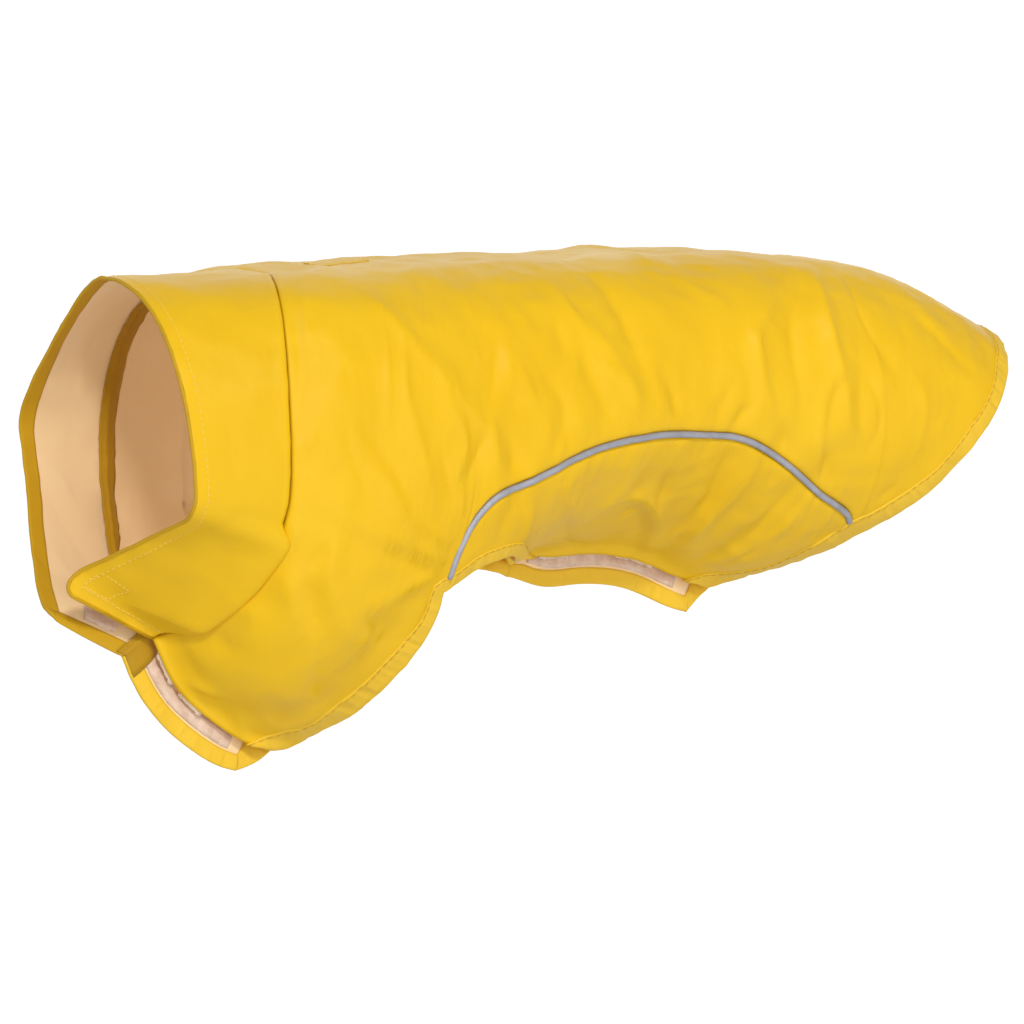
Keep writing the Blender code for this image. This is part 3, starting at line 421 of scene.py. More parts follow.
def collar_points(side, rise, girth):
    low = rounded(section_curve([np.zeros_like(rise) + c for c in BODY_SECTIONS[0]]), girth)
    rim = [np.zeros_like(rise) + c for c in RIM_SECTIONS[side]]
    high = rounded(section_curve(rim, *RIM_CLOSING[side]), girth)
    return low + rise[..., None] * (high - low)


class Surface:
    """A smooth surface through a grid of points, asked for by side and place."""

    PAD = 3

    def __init__(self, points_at, length, rows, columns, soften):
        self.steps = (length / rows, 1 / columns)
        a = np.linspace(0, length, rows + 1)[:, None]
        b = np.linspace(0, 1, columns + 1)[None]
        grid = points_at(*np.broadcast_arrays(a, b))
        if soften:
            grid = self.softened(grid, soften)
        pad = self.PAD
        first, last = grid[pad:0:-1], grid[-2:-pad - 2:-1]
        grid = np.concatenate([2 * grid[:1] - first, grid, 2 * grid[-1:] - last])
        mirrored = grid[:, pad:0:-1] * (1, -1, 1)
        last = grid[:, -2:-pad - 2:-1]
        self.grid = np.concatenate([mirrored, grid, 2 * grid[:, -1:] - last], 1)

    def softened(self, grid, sigma):
        """Evened out along the first coordinate, where the sections' run changes abruptly."""
        reach = int(3 * sigma)
        weights = np.exp(-0.5 * (np.arange(-reach, reach + 1) / sigma) ** 2)
        weights /= weights.sum()
        before, after = grid[reach:0:-1], grid[-2:-reach - 2:-1]
        wide = np.concatenate([2 * grid[:1] - before, grid, 2 * grid[-1:] - after])
        return sum(w * wide[k:k + len(grid)] for k, w in enumerate(weights))

    def __call__(self, side, a, b):
        a, b = np.broadcast_arrays(np.asarray(a, float), np.asarray(b, float))
        result = np.zeros(a.shape + (3,))
        cells, weights = [], []
        for value, step, size in zip((a, b), self.steps, self.grid.shape):
            at = value / step + self.PAD
            cell = np.clip(np.floor(at).astype(int), 1, size - 3)
            t = at - cell
            cells.append(cell)
            weights.append((
                ((-t + 2) * t - 1) * t / 2, ((3 * t - 5) * t * t + 2) / 2,
                ((-3 * t + 4) * t + 1) * t / 2, (t - 1) * t * t / 2,
            ))
        for i in range(4):
            for j in range(4):
                share = weights[0][i] * weights[1][j]
                result += share[..., None] * self.grid[cells[0] + i - 1, cells[1] + j - 1]
        result[..., 1] *= side
        result[..., 0] -= ORIGIN_BACK
        result[..., 2] -= ORIGIN_HEIGHT
        return result


body_surface = Surface(body_points, 500.0, 250, 160, 3)
COLLAR_SURFACES = {
    side: Surface(lambda rise, girth, side=side: collar_points(side, rise, girth), 1.0, 24, 160, 0)
    for side in SIDES
}


def collar_surface(side, rise, girth):
    return COLLAR_SURFACES[side](side, rise, girth)


def slopes(surface, side, a, b, step_a, step_b):
    """Changes of the surface per unit of each coordinate, and its unit outward normal."""
    along = (surface(side, a + step_a, b) - surface(side, a - step_a, b)) / (2 * step_a)
    round_ = (surface(side, a, b + step_b) - surface(side, a, b - step_b)) / (2 * step_b)
    normal = np.cross(along, round_) * side
    return along, round_, normal / np.linalg.norm(normal, axis=-1, keepdims=True)


def girth_length(back):
    """Length of a half section, mm."""
    curve = section_curve(body_section(np.asarray(back, float)))
    return np.linalg.norm(np.diff(curve, axis=-2), axis=-1).sum(-1)


def sampled(table, count):
    """So many evenly spaced rows of a smooth line through the table's rows."""
    table = np.array(table, float)
    run = run_along(table[:, -2:] * (1, GIRTH_SCALE))
    want = np.linspace(0, run[-1], count)
    return np.stack([fair(want, run, column) for column in table.T], 1)


def cut_to(side, rows):
    """The rows, but the left side's end short of the right one's by the flap."""
    rows = np.array(rows, float)
    if side < 0:
        most = 1 - FLAP / girth_length(rows[:, -2])
        rows[:, -1] = np.minimum(rows[:, -1], most)
    return rows


def pulled_in(side, path, pulls):
    """The path's points moved into the cloth by their distances from the lines before and after."""
    points = body_surface(side, path[:, 0], path[:, 1])
    middle = path[1:-1]
    along, round_, normal = slopes(
        body_surface, side, middle[:, 0], middle[:, 1], NUDGE, NUDGE / GIRTH_SCALE
    )
    moved = []
    for i, (before, after) in enumerate(pulls):
        inwards = []
        for line in (points[i + 1] - points[i], points[i + 2] - points[i + 1]):
            turned = -side * np.cross(normal[i], line)
            inwards.append(turned / np.linalg.norm(turned))
        first, second = inwards
        facing = first @ second
        if facing > 0.93:
            shift = (first + second) / np.linalg.norm(first + second) * (before + after) / 2
        else:
            spread = 1 - facing ** 2
            shift = (first * (before - facing * after) + second * (after - facing * before)) / spread
        metric = np.array([
            [along[i] @ along[i], along[i] @ round_[i]],
            [along[i] @ round_[i], round_[i] @ round_[i]],
        ])
        change = np.linalg.solve(metric, [along[i] @ shift, round_[i] @ shift])
        moved.append(middle[i] + change)
    return np.maximum(moved, 0)


def between(lines):
    """Pairs of each value with the next."""
    return list(zip(lines[:-1], lines[1:]))


class Outline:
    """The cut of one side of the body: edges and insets of its panels, as (back, girth)."""

    def __init__(self, side):
        self.side = side
        self.keel_line = KEEL if side > 0 else LEFT_KEEL
        self.chest = cut_to(side, CHEST_EDGE)
        self.leg_front = cut_to(side, sampled(LEG_FRONT_EDGE, LEG_ROWS))
        self.arch = sampled(ARCH_SEAM, ARCH_ROWS)
        self.rear = sampled(REAR_EDGE, REAR_ROWS)
        self.lower = np.concatenate([
            cut_to(side, sampled(LEG_REAR_EDGE[side], LEG_REAR_ROWS)),
            cut_to(side, sampled(BELLY_EDGE[side], BELLY_ROWS))[1:],
            cut_to(side, sampled(REAR_LOWER_EDGE, REAR_LOWER_ROWS))[1:],
        ])
        self.corner = len(self.chest) - 1
        self.junction = self.corner + LEG_ROWS - 1
        self.belly_front = LEG_REAR_ROWS - 1
        self.belly_rear = self.belly_front + BELLY_ROWS - 1
        self.chest_rows = slice(0, self.corner + 1)
        self.belly_rows = slice(self.belly_front, self.belly_rear + 1)
        self.cut_back()
        self.cut_gusset()

    def cut_back(self):
        rows = np.concatenate([self.chest, self.leg_front[1:], self.arch, self.rear])
        first, last = rows[0, 1:], rows[-2, 1:]
        path = np.vstack([first - (0, 0.03), rows[:, 1:], last * (1, -1)])
        chest, leg, rear = self.corner, LEG_ROWS - 1, REAR_ROWS - 1
        seam = [SEAM_PULL] * (ARCH_ROWS + 1)
        self.back_edge = pulled_in(
            self.side, path, between([0] + [0] * (chest + leg) + seam + [0] * (rear + 1))
        )
        self.back_inset = pulled_in(
            self.side, path, between([0] + [BAND] * (chest + leg) + seam + [BAND] * (rear + 1))
        )
        self.back_edge[-1] = rows[-1, 1:]
        self.back_inset[-1] = rows[-1, 1:] - (BAND, 0)
        self.centre = np.stack([rows[:, 0], np.zeros(len(rows))], 1)
        self.centre[-1] = self.back_inset[-1]
        self.back_keel = pulled_in(self.side, path, between(
            [0] + [self.keel_line] * chest + [BAND] * leg + seam + [BAND] * (rear + 1)
        ))
        self.back_edge[chest] += CORNER_ROUND * (self.back_inset[chest] - self.back_edge[chest])
        free = slice(chest + 1, None)
        inset = self.back_inset[free]
        self.back_keel[free] = inset + (self.centre[free] - inset) * BACK_FREE_KEEL

    def cut_gusset(self):
        arch = self.arch[:, 1:]
        path = np.vstack([arch[0], self.lower, arch[-1]])
        leg, belly, rear = LEG_REAR_ROWS - 1, BELLY_ROWS - 1, REAR_LOWER_ROWS - 1
        free = leg + belly + rear
        self.lower_edge = pulled_in(
            self.side, path, between([SEAM_PULL] + [0] * free + [SEAM_PULL])
        )
        self.lower_inset = pulled_in(
            self.side, path, between([SEAM_PULL] + [BAND] * free + [SEAM_PULL])
        )
        for corner in (leg, leg + belly):
            inset = self.lower_inset[corner]
            self.lower_edge[corner] += CORNER_ROUND * (inset - self.lower_edge[corner])
        keel = pulled_in(self.side, path, between(
            [SEAM_PULL] + [BAND] * leg + [self.keel_line] * belly + [BAND] * rear + [SEAM_PULL]
        ))
        whole_arch = np.vstack([self.lower[0], arch, self.lower[-1]])
        self.gusset_top = pulled_in(self.side, whole_arch, [(-SEAM_PULL, -SEAM_PULL)] * len(arch))
        inset = self.lower_inset
        self.gusset_keel = inset + (self.gusset_top - inset) * GUSSET_FREE_KEEL
        self.gusset_keel[leg:leg + belly + 1] = keel[leg:leg + belly + 1]

    def leg_ring(self):
        """Places (n, 2, 2) of the leg opening's edge, with its inset."""
        path = np.vstack([self.leg_front[-2, 1:], self.lower[:2]])
        inset = pulled_in(self.side, path, [(BAND, BAND)])[0]
        mitre = np.stack([self.lower[0], inset])[None]
        front = np.stack([self.back_edge, self.back_inset], 1)[self.corner:self.junction]
        wide = 1 + LEG_BAND_SPARE * np.sin(np.pi * np.linspace(0, 1, len(front)) ** 0.6)[:, None]
        front[:, 1] = front[:, 0] + wide * (front[:, 1] - front[:, 0])
        rear = np.stack([self.lower_edge, self.lower_inset], 1)[:self.belly_front + 1]
        if self.side < 0:
            front = self.from_closing(front, self.back_edge[self.corner - 1])
            rear = self.from_closing(rear[::-1], self.lower_edge[self.belly_front + 1])[::-1]
        return np.concatenate([front, mitre, rear])

    def rear_ring(self):
        """The same of the rear hem, from the belly's closing to the tip."""
        lower = np.stack([self.lower_edge, self.lower_inset], 1)[self.belly_rear:]
        if self.side < 0:
            lower = self.from_closing(lower, self.lower_edge[self.belly_rear - 1])
        rear = np.stack([self.back_edge, self.back_inset], 1)[-REAR_ROWS:]
        ring = np.concatenate([lower[:-1], (lower[-1:] + rear[:1]) / 2, rear[1:]])
        t = np.linspace(0, 1, len(ring))[:, None]
        wide = 1 + np.clip(t / 0.1, 0, 1) * (0.15 + REAR_BAND_SPARE * np.exp(-((t - 0.27) / 0.16) ** 2))
        wide[-2:] = 1
        ring[:, 1] = ring[:, 0] + wide * (ring[:, 1] - ring[:, 0])
        return ring

    def from_closing(self, ring, beside):
        """The ring of a binding that starts on the left's closing edge, with its mitre."""
        ring = ring.copy()
        edge = ring[0, 0].copy()
        ends = body_surface(self.side, *np.stack([edge, beside]).T)
        run = (beside - edge) / np.linalg.norm(ends[1] - ends[0])
        first = np.stack([edge, edge + run * BAND])
        ring[0, 0] += 0.4 * (ring[1, 0] - edge)
        return np.concatenate([first[None], ring])


def spline(rows, at):
    """Values at these row numbers of a smooth line through the rows (n, ...)."""
    rows = np.concatenate([2 * rows[:1] - rows[1:2], rows, 2 * rows[-1:] - rows[-2:-1]])
    cell = np.clip(np.floor(at).astype(int), 0, len(rows) - 4)
    t = (at - cell).reshape((-1,) + (1,) * (rows.ndim - 1))
    a, b, c, d = (rows[cell + k] for k in range(4))
    return b + t / 2 * (c - a + t * (2 * a - 5 * b + 4 * c - d + t * (3 * (b - c) + d - a)))


def finer(rows, lengths, corners=(), step=FINE):
    """Rows of places refined to about this step, smooth but for the numbered corner rows. lengths
    has the distance of each row from the next."""
    ends = [0, *corners, len(rows) - 1]
    parts = []
    for start, end in zip(ends[:-1], ends[1:]):
        counts = np.maximum(1, np.round(lengths[start:end] / step)).astype(int)
        at = np.concatenate([k + np.arange(n) / n for k, n in enumerate(counts)])
        parts.append(spline(rows[start:end + 1], at))
    return np.concatenate(parts + [rows[-1:]])


def row_lengths(side, places):
    """The distance of each row of places from the next, mm."""
    points = body_surface(side, places[..., 0], places[..., 1])
    return np.linalg.norm(np.diff(points, axis=0), axis=-1).reshape(len(points) - 1, -1).max(1)


def across(lines, counts):
    """A grid of places with so many cells between each line (rows, 2) and the next."""
    columns = [lines[0][:, None]]
    for first, second, count in zip(lines[:-1], lines[1:], counts):
        t = (np.arange(count) + 1)[None, :, None] / count
        columns.append(first[:, None] + t * (second - first)[:, None])
    return np.concatenate(columns, 1)


def crumple(points, size, seed):
    """Uneven ridges between -1 and 1 at these points, of about this size in mm."""
    flat = points.reshape(-1, 3) / size + seed * 7.31
    values = np.array([noise.noise(Vector(p)) for p in flat.tolist()])
    values = 1 - 3.2 * np.sqrt(values ** 2 + 0.012)
    return values.reshape(points.shape[:-1])


class Crease:
    """One soft ridge or trough: the line of its crest in space, its reaches and its height."""

    def __init__(self, surface, side, places, front, rear, tall):
        places = np.array(places, float)
        line = spline(places, np.linspace(0, len(places) - 1, 7 * (len(places) - 1) + 1))
        self.crest = surface(side, line[:, 0], line[:, 1])
        self.front, self.rear, self.tall = front, rear, tall
        reach = 3.2 * max(front, rear)
        self.low, self.high = self.crest.min(0) - reach, self.crest.max(0) + reach

    def lift(self, points):
        """Rows of points that it moves, and how far."""
        near = np.nonzero(np.all((points > self.low) & (points < self.high), axis=-1))[0]
        if not len(near):
            return near, 0.0
        some = points[near]
        start, run = self.crest[:-1], np.diff(self.crest, axis=0)
        away = some[:, None] - start
        along = np.clip((away * run).sum(-1) / (run ** 2).sum(-1), 0, 1)
        away -= along[..., None] * run
        apart = np.linalg.norm(away, axis=-1)
        nearest = apart.argmin(1)
        pick = np.arange(len(some))
        away, apart, along = away[pick, nearest], apart[pick, nearest], along[pick, nearest]
        part = (nearest + along) / len(run)
        behind = 0.5 + 0.5 * np.tanh(away[:, 0] / 2.5)
        reach = self.front + (self.rear - self.front) * behind
        fade = np.sin(np.pi * (0.06 + 0.88 * part)) ** 0.7
        crest = CREST if self.front < WIDE_CREASE else 0.6 * self.front
        distance = np.sqrt(apart ** 2 + crest ** 2) - crest
        fall = np.exp(-(distance / reach) * 1.25 - (distance / (2.2 * reach)) ** 2)
        return near, self.tall * fade * fall


def all_creases():
    """The left side's creases, and uneven ones like them on the right side."""
    made = np.random.default_rng(12)
    creases = [Crease(body_surface, 1, *crease) for crease in INNER_CREASES]
    creases += [Crease(body_surface, side, *crease) for side in SIDES for crease in LEG_FLARE]
    for places, front, rear, tall in CREASES:
        creases.append(Crease(body_surface, -1, places, front, rear, tall))
        moved = np.array(places, float) + (made.uniform(-9, 13), made.uniform(-0.03, 0.03))
        moved[-1] += (made.uniform(-9, 9), made.uniform(-0.02, 0.02))
        moved = np.clip(moved, (3, 0.02), (488, 0.96))
        creases.append(Crease(body_surface, 1, moved, front, rear, tall * made.uniform(0.75, 1.15)))
    return creases


def cloth_height(points, creases):
    """How far creases and crumples lift the cloth."""
    flat = points.reshape(-1, 3)
    height = 0.62 * crumple(flat * (1.0, 1.0, 0.55), 36, 1)
    height += 0.34 * crumple(flat * (0.8, 1.0, 0.7), 16, 2)
    height += 0.10 * crumple(flat * (1.0, 1.0, 0.6), 7, 3)
    for crease in creases:
        near, lift = crease.lift(flat)
        height[near] += lift
    return height.reshape(points.shape[:-1])


BODY_CREASES = all_creases()


def worn_body(side, back, girth):
    """Points of the creased body, and its smooth normals."""
    points = body_surface(side, back, girth)
    normal = slopes(body_surface, side, back, girth, NUDGE, NUDGE / GIRTH_SCALE)[2]
    return points + normal * CREASE_DEPTH * cloth_height(points, BODY_CREASES)[..., None], normal


def untangled(grid, tries=60):
    """The same places, evened out where cells turn over beside a sharp corner."""
    grid = grid.copy()
    for _ in range(tries):
        flat = grid * (1.0, GIRTH_SCALE)
        first = flat[1:, 1:] - flat[:-1, :-1]
        second = flat[:-1, 1:] - flat[1:, :-1]
        turn = first[..., 0] * second[..., 1] - first[..., 1] * second[..., 0]
        over = turn * np.sign(np.median(turn)) < -1e-4
        if not over.any():
            break
        near = np.zeros(grid.shape[:2], bool)
        for row, column in np.argwhere(over):
            near[max(row - 1, 1):row + 3, max(column - 1, 1):column + 3] = True
        near[-1] = near[:, -1] = False
        middle = grid.copy()
        middle[1:-1, 1:-1] = (grid[:-2, 1:-1] + grid[2:, 1:-1] + grid[1:-1, :-2] + grid[1:-1, 2:]) / 4
        grid[near] = middle[near]
    return grid


def puckers(run, spacing, seed, narrow=1.0):
    """Uneven ripples, 0 to 1, at distances along a seam."""
    made = np.random.default_rng(seed)
    height = np.zeros_like(run)
    at = float(run.min())
    while at < run.max():
        at += spacing * made.uniform(0.55, 1.6)
        wide = narrow * spacing * made.uniform(0.16, 0.34)
        height += made.uniform(0.25, 1.0) * np.exp(-((run - at) / wide) ** 2)
    return height


# ---------------------------------------------------------------- meshes

def new_piece(name, corners, faces, finishes):
    """A smooth piece with these corners, mm, and faces."""
    mesh = bpy.data.meshes.new(name)
    mesh.from_pydata((np.asarray(corners) * MM).tolist(), [], faces)
    mesh.shade_smooth()
    for finish in finishes:
        mesh.materials.append(finish)
    piece = bpy.data.objects.new(name, mesh)
    bpy.context.scene.collection.objects.link(piece)
    return piece


def flat_places(points):
    """Distances along and across a grid from its middle column, m, as if it was laid flat."""
    u = run_along(points)
    v = run_along(points.swapaxes(0, 1)).swapaxes(0, 1)
    middle = slice(points.shape[1] // 2, points.shape[1] // 2 + 1)
    return np.stack([u - u[:, middle], np.broadcast_to(v[:, middle], u.shape)], -1) * MM


def sheet_mesh(name, points, outward, finishes, wall):
    """A closed wall of cloth, inwards of a grid of points (rows, columns, 3), mm."""
    rows, columns = points.shape[:2]
    corners, index = np.unique(np.round(points.reshape(-1, 3), 4), axis=0, return_inverse=True)
    index = index.reshape(rows, columns)
    ring = np.stack([index[:-1, :-1], index[1:, :-1], index[1:, 1:], index[:-1, 1:]], -1)
    first = points[1:, 1:] - points[:-1, :-1]
    second = points[:-1, 1:] - points[1:, :-1]
    if (np.cross(first, second) * outward[:-1, :-1]).sum() < 0:
        ring = ring[..., ::-1]
    faces = []
    for face in ring.reshape(-1, 4).tolist():
        kept = [corner for k, corner in enumerate(face) if corner != face[k - 1]]
        if len(set(kept)) == len(kept) > 2:
            faces.append(kept)
    piece = new_piece(name, corners, faces, finishes)
    layer = piece.data.uv_layers.new(name="cut")
    where = np.zeros((len(corners), 2))
    where[index.reshape(-1)] = flat_places(points).reshape(-1, 2)
    loops = np.empty(len(piece.data.loops), int)
    piece.data.loops.foreach_get("vertex_index", loops)
    layer.data.foreach_set("uv", where[loops].reshape(-1))
    shell = piece.modifiers.new("wall", "SOLIDIFY")
    shell.thickness = wall * MM
    shell.offset = -1
    shell.use_rim = True
    shell.material_offset = len(finishes) - 1
    return piece


def tube_mesh(name, path, radius, finish, around=12):
    """A round cord along a path (n, 3), mm, with blunt points at its ends."""
    along = np.gradient(path, axis=0)
    along /= np.linalg.norm(along, axis=1, keepdims=True)
    level = np.cross(along, (0.0, 0.0, 1.0))
    level /= np.linalg.norm(level, axis=1, keepdims=True)
    up = np.cross(level, along)
    turn = np.arange(around) / around * 2 * np.pi
    ring = np.cos(turn)[None, :, None] * level[:, None] + np.sin(turn)[None, :, None] * up[:, None]
    points = path[:, None] + ring * radius
    point = 0.6 * radius
    corners = np.concatenate([
        points.reshape(-1, 3), path[:1] - along[:1] * point, path[-1:] + along[-1:] * point,
    ])
    faces = []
    count = len(path)
    last = (count - 1) * around
    for i in range(count - 1):
        for k in range(around):
            n = (k + 1) % around
            faces.append((i * around + k, i * around + n, (i + 1) * around + n, (i + 1) * around + k))
    for k in range(around):
        n = (k + 1) % around
        faces.append((n, k, count * around))
        faces.append((last + k, last + n, count * around + 1))
    return new_piece(name, corners, faces, [finish])


def resampled(path, step):
    """The path's rows about this far apart, and their distances along it."""
    run = run_along(path)
    want = np.linspace(0, run[-1], max(2, int(round(run[-1] / step)) + 1))
    return np.stack([np.interp(want, run, column) for column in path.T], 1), want


def stitches(name, lines, finish, length=2.6, gap=0.9, radius=0.24):
    """Rows of separate stitches along lines of (points, normals), joined in one mesh."""
    corners, faces = [], []
    around, rings = 5, len(STITCH_DIP)
    made = np.random.default_rng(len(name))
    for points, normals in lines:
        path, run = resampled(np.concatenate([points, normals], 1), 0.4)
        at = 0.3
        while at + length < run[-1]:
            long = length * made.uniform(0.92, 1.06)
            t = np.linspace(at, at + long, rings)
            core = np.stack([np.interp(t, run, column) for column in path.T], 1)
            centre, normal = core[:, :3], core[:, 3:]
            normal = normal / np.linalg.norm(normal, axis=1, keepdims=True)
            centre = centre + normal * np.array(STITCH_DIP)[:, None]
            along = np.gradient(centre, axis=0)
            along /= np.linalg.norm(along, axis=1, keepdims=True)
            side = np.cross(along, normal)
            base = len(corners)
            for i in range(rings):
                size = radius * (0.7 if i in (0, rings - 1) else 1.0)
                for k in range(around):
                    a = 2 * math.pi * k / around
                    corners.append(centre[i] + size * (math.cos(a) * side[i] + math.sin(a) * normal[i]))
            for i in range(rings - 1):
                for k in range(around):
                    n = (k + 1) % around
                    faces.append((base + i * around + k, base + (i + 1) * around + k,
                                  base + (i + 1) * around + n, base + i * around + n))
            faces.append(tuple(base + k for k in range(around)))
            faces.append(tuple(base + (rings - 1) * around + k for k in reversed(range(around))))
            at += long + gap
    return new_piece(name, corners, faces, [finish])


# ---------------------------------------------------------------- materials

def new_group(name, outputs):
    group = bpy.data.node_groups.new(name, "ShaderNodeTree")
    for label, kind in outputs:
        group.interface.new_socket(label, in_out="OUTPUT", socket_type=kind)
    return group


def feed(tree, node, inputs):
    """Sets a node's inputs to values, or joins them to other nodes' sockets."""
    for key, value in inputs.items():
        if isinstance(value, bpy.types.NodeSocket):
            tree.links.new(value, node.inputs[key])
        else:
            node.inputs[key].default_value = value


def wire(tree, kind, inputs, **settings):
    """The first output of a new node with these inputs and settings."""
    node = tree.nodes.new(kind)
    for key, value in settings.items():
        setattr(node, key, value)
    feed(tree, node, inputs)
    return node.outputs[0]


def maths(tree, operation, *values):
    return wire(tree, "ShaderNodeMath", dict(enumerate(values)), operation=operation)


def noise_at(tree, place, scale, detail, roughness=0.5):
    """A noise's values and its colours."""
    inputs = {"Vector": place, "Scale": scale, "Detail": detail, "Roughness": roughness}
    values = wire(tree, "ShaderNodeTexNoise", inputs)
    return values, values.node.outputs["Color"]


def object_place(tree):
    return tree.nodes.new("ShaderNodeTexCoord").outputs["Object"]


def bumped(tree, height, distance, normal=None):
    """A normal that follows a height, this many metres tall, on top of another normal."""
    inputs = {"Height": height, "Distance": distance, "Strength": 1.0}
    if normal:
        inputs["Normal"] = normal
    return wire(tree, "ShaderNodeBump", inputs)


def two_tones(tree, value, low, dark, high, light):
    """A colour that goes from dark at one value to light at another."""
    node = tree.nodes.new("ShaderNodeValToRGB")
    feed(tree, node, {"Fac": value})
    for element, at, colour in zip(node.color_ramp.elements, (low, high), (dark, light)):
        element.position = at
        element.color = (*colour, 1)
    return node.outputs["Color"]


def weave_group():
    """Height of a fine plain weave, from the cloth's own flat places."""
    group = new_group("plain weave", [("Height", "NodeSocketFloat")])
    place = wire(group, "ShaderNodeUVMap", {}, uv_map="cut")
    parts = wire(group, "ShaderNodeSeparateXYZ", {0: place}).node.outputs
    threads = [
        maths(group, "SINE", maths(group, "MULTIPLY", axis, 2 * math.pi / THREAD_PITCH))
        for axis in (parts["X"], parts["Y"])
    ]
    out = group.nodes.new("NodeGroupOutput")
    feed(group, out, {"Height": maths(group, "MULTIPLY", *threads)})
    return group


def crinkle_group():
    """Fine wrinkles of coated cloth, and a tone that tells where it is dull or darker."""
    group = new_group("cloth crinkle", [("Height", "NodeSocketFloat"), ("Tone", "NodeSocketFloat")])
    place = object_place(group)
    _, bend = noise_at(group, place, 38.0, 3.0)
    shift = wire(group, "ShaderNodeVectorMath", {0: bend, 1: (0.012, 0.012, 0.012)}, operation="MULTIPLY")
    moved = wire(group, "ShaderNodeVectorMath", {0: place, 1: shift}, operation="ADD")
    ridges = wire(group, "ShaderNodeTexVoronoi", {
        "Vector": moved, "Scale": 42.0, "Smoothness": 0.6,
    }, feature="SMOOTH_F1")
    fine, _ = noise_at(group, place, 260.0, 3.0, 0.55)
    tone, _ = noise_at(group, place, 9.0, 4.0, 0.6)
    out = group.nodes.new("NodeGroupOutput")
    feed(group, out, {
        "Height": maths(group, "MULTIPLY_ADD", fine, 0.12, maths(group, "MULTIPLY", ridges, 0.9)),
        "Tone": tone,
    })
    return group


def new_material(name):
    made = bpy.data.materials.new(name)
    made.use_nodes = True
    return made, made.node_tree, made.node_tree.nodes["Principled BSDF"]


def placed(tree, group):
    node = tree.nodes.new("ShaderNodeGroup")
    node.node_tree = group
    return node.outputs


def cloth_material(name, dark, light, rough, bumps, gloss=0.5, sheen=0.0, glow=0.0):
    """Woven cloth: two colours, roughness range, and heights of its crinkle and weave in metres.

    glow stands in for the light that comes through thin cloth.
    """
    made, tree, shader = new_material(name)
    crinkle = placed(tree, CRINKLE)
    normal = bumped(tree, crinkle["Height"], bumps[0])
    feed(tree, shader, {
        "Base Color": two_tones(tree, crinkle["Tone"], 0.3, dark, 0.7, light),
        "Roughness": wire(tree, "ShaderNodeMapRange", {
            "Value": crinkle["Tone"],
            "From Min": 0.3, "From Max": 0.7, "To Min": rough[1], "To Max": rough[0],
        }),
        "Normal": bumped(tree, placed(tree, WEAVE)["Height"], bumps[1], normal),
        "Specular IOR Level": gloss,
        "Sheen Weight": sheen,
        "Emission Color": (*light, 1),
        "Emission Strength": glow,
    })
    return made


def beaded_material(name, dark, light, cells, patches, bumps, settings):
    """Small round beads or loops with uneven patches between two colours.

    dark and light have the patches' values and colours there, cells and patches say how many there
    are in a metre, and bumps how tall they are in metres.
    """
    made, tree, shader = new_material(name)
    place = object_place(tree)
    bead = wire(tree, "ShaderNodeTexVoronoi", {"Vector": place, "Scale": cells})
    patch, _ = noise_at(tree, place, *patches)
    feed(tree, shader, {
        "Base Color": two_tones(tree, patch, *dark, *light),
        "Normal": bumped(tree, patch, bumps[1], bumped(tree, bead, bumps[0])),
        **settings,
    })
    return made


def nap_material(name, dark, light):
    """Fuzzy tape of tiny loops."""
    return beaded_material(
        name, (0.35, dark), (0.65, light), 1300.0, (180.0, 3.0), (0.0004, 0.0006),
        {"Roughness": 0.95, "Sheen Weight": 0.5},
    )


def piping_material():
    """Grey reflective cloth, with tiny glass beads that glitter."""
    return beaded_material(
        "reflective piping", (0.3, (0.34, 0.345, 0.40)), (0.7, (0.45, 0.455, 0.52)),
        2400.0, (90.0, 4.0), (0.00015, 0.0008), {"Roughness": 0.42, "Metallic": 0.35},
    )


def thread_material(name, colour):
    made, tree, shader = new_material(name)
    twist, _ = noise_at(tree, object_place(tree), 900.0, 2.0)
    light = tuple(min(1.0, 1.12 * part) for part in colour)
    feed(tree, shader, {
        "Base Color": two_tones(tree, twist, 0.3, colour, 0.7, light),
        "Normal": bumped(tree, twist, 0.0002),
        "Roughness": 0.6,
    })
    return made


WEAVE, CRINKLE = weave_group(), crinkle_group()
RAIN = cloth_material("coated rain cloth", (0.81, 0.475, 0.004), (0.86, 0.52, 0.007), (0.30, 0.40),
                      (0.0010, 0.00003), gloss=0.24)
# The backing's glow is painted light: an even emission that stands in for light coming through the thin
# cloth and lifts its shade.
LINING = cloth_material("beige cloth backing", (0.90, 0.63, 0.32), (0.93, 0.68, 0.38), (0.62, 0.72),
                        (0.0008, 0.00006), sheen=0.15, glow=0.11)
TAPE = cloth_material("yellow tape inside", (0.56, 0.32, 0.006), (0.62, 0.36, 0.010), (0.48, 0.58),
                      (0.0009, 0.00005), gloss=0.25)
# The tape over the neck seam is the inside tape's yellow made darker. This is painted shade, standing in
# for the shade inside the collar.
SHADED_NECK_TAPE = cloth_material("neck seam tape darkened as painted shade", (0.44, 0.235, 0.004), (0.52, 0.29, 0.007),
                           (0.46, 0.56), (0.0007, 0.00004), gloss=0.3)
TRIM = cloth_material("yellow binding cloth", (0.84, 0.51, 0.020), (0.90, 0.57, 0.034), (0.38, 0.50),
                      (0.0006, 0.00005), gloss=0.28)
LOOP = nap_material("pinkish beige loop tape", (0.68, 0.46, 0.32), (0.82, 0.61, 0.46))
HOOK = nap_material("beige hook tape", (0.78, 0.54, 0.34), (0.90, 0.68, 0.48))
PIPING = piping_material()
THREAD = thread_material("light yellow thread", (0.80, 0.56, 0.12))
SEAM_THREAD = thread_material("dark yellow thread", (0.50, 0.29, 0.008))


# ---------------------------------------------------------------- pieces

def finish_piece(piece, nodes=()):
    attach(piece, "root")
    if nodes:
        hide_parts(*nodes)
    return piece


def edge_run(points):
    """Distances along the last column of a grid."""
    return run_along(points[:, -1])


def seam_roll(distance, wide=3.4, deep=1.2):
    """How far cloth rolls in beside a seam."""
    return -deep * np.clip(1 - distance / wide, 0, 1) ** 2


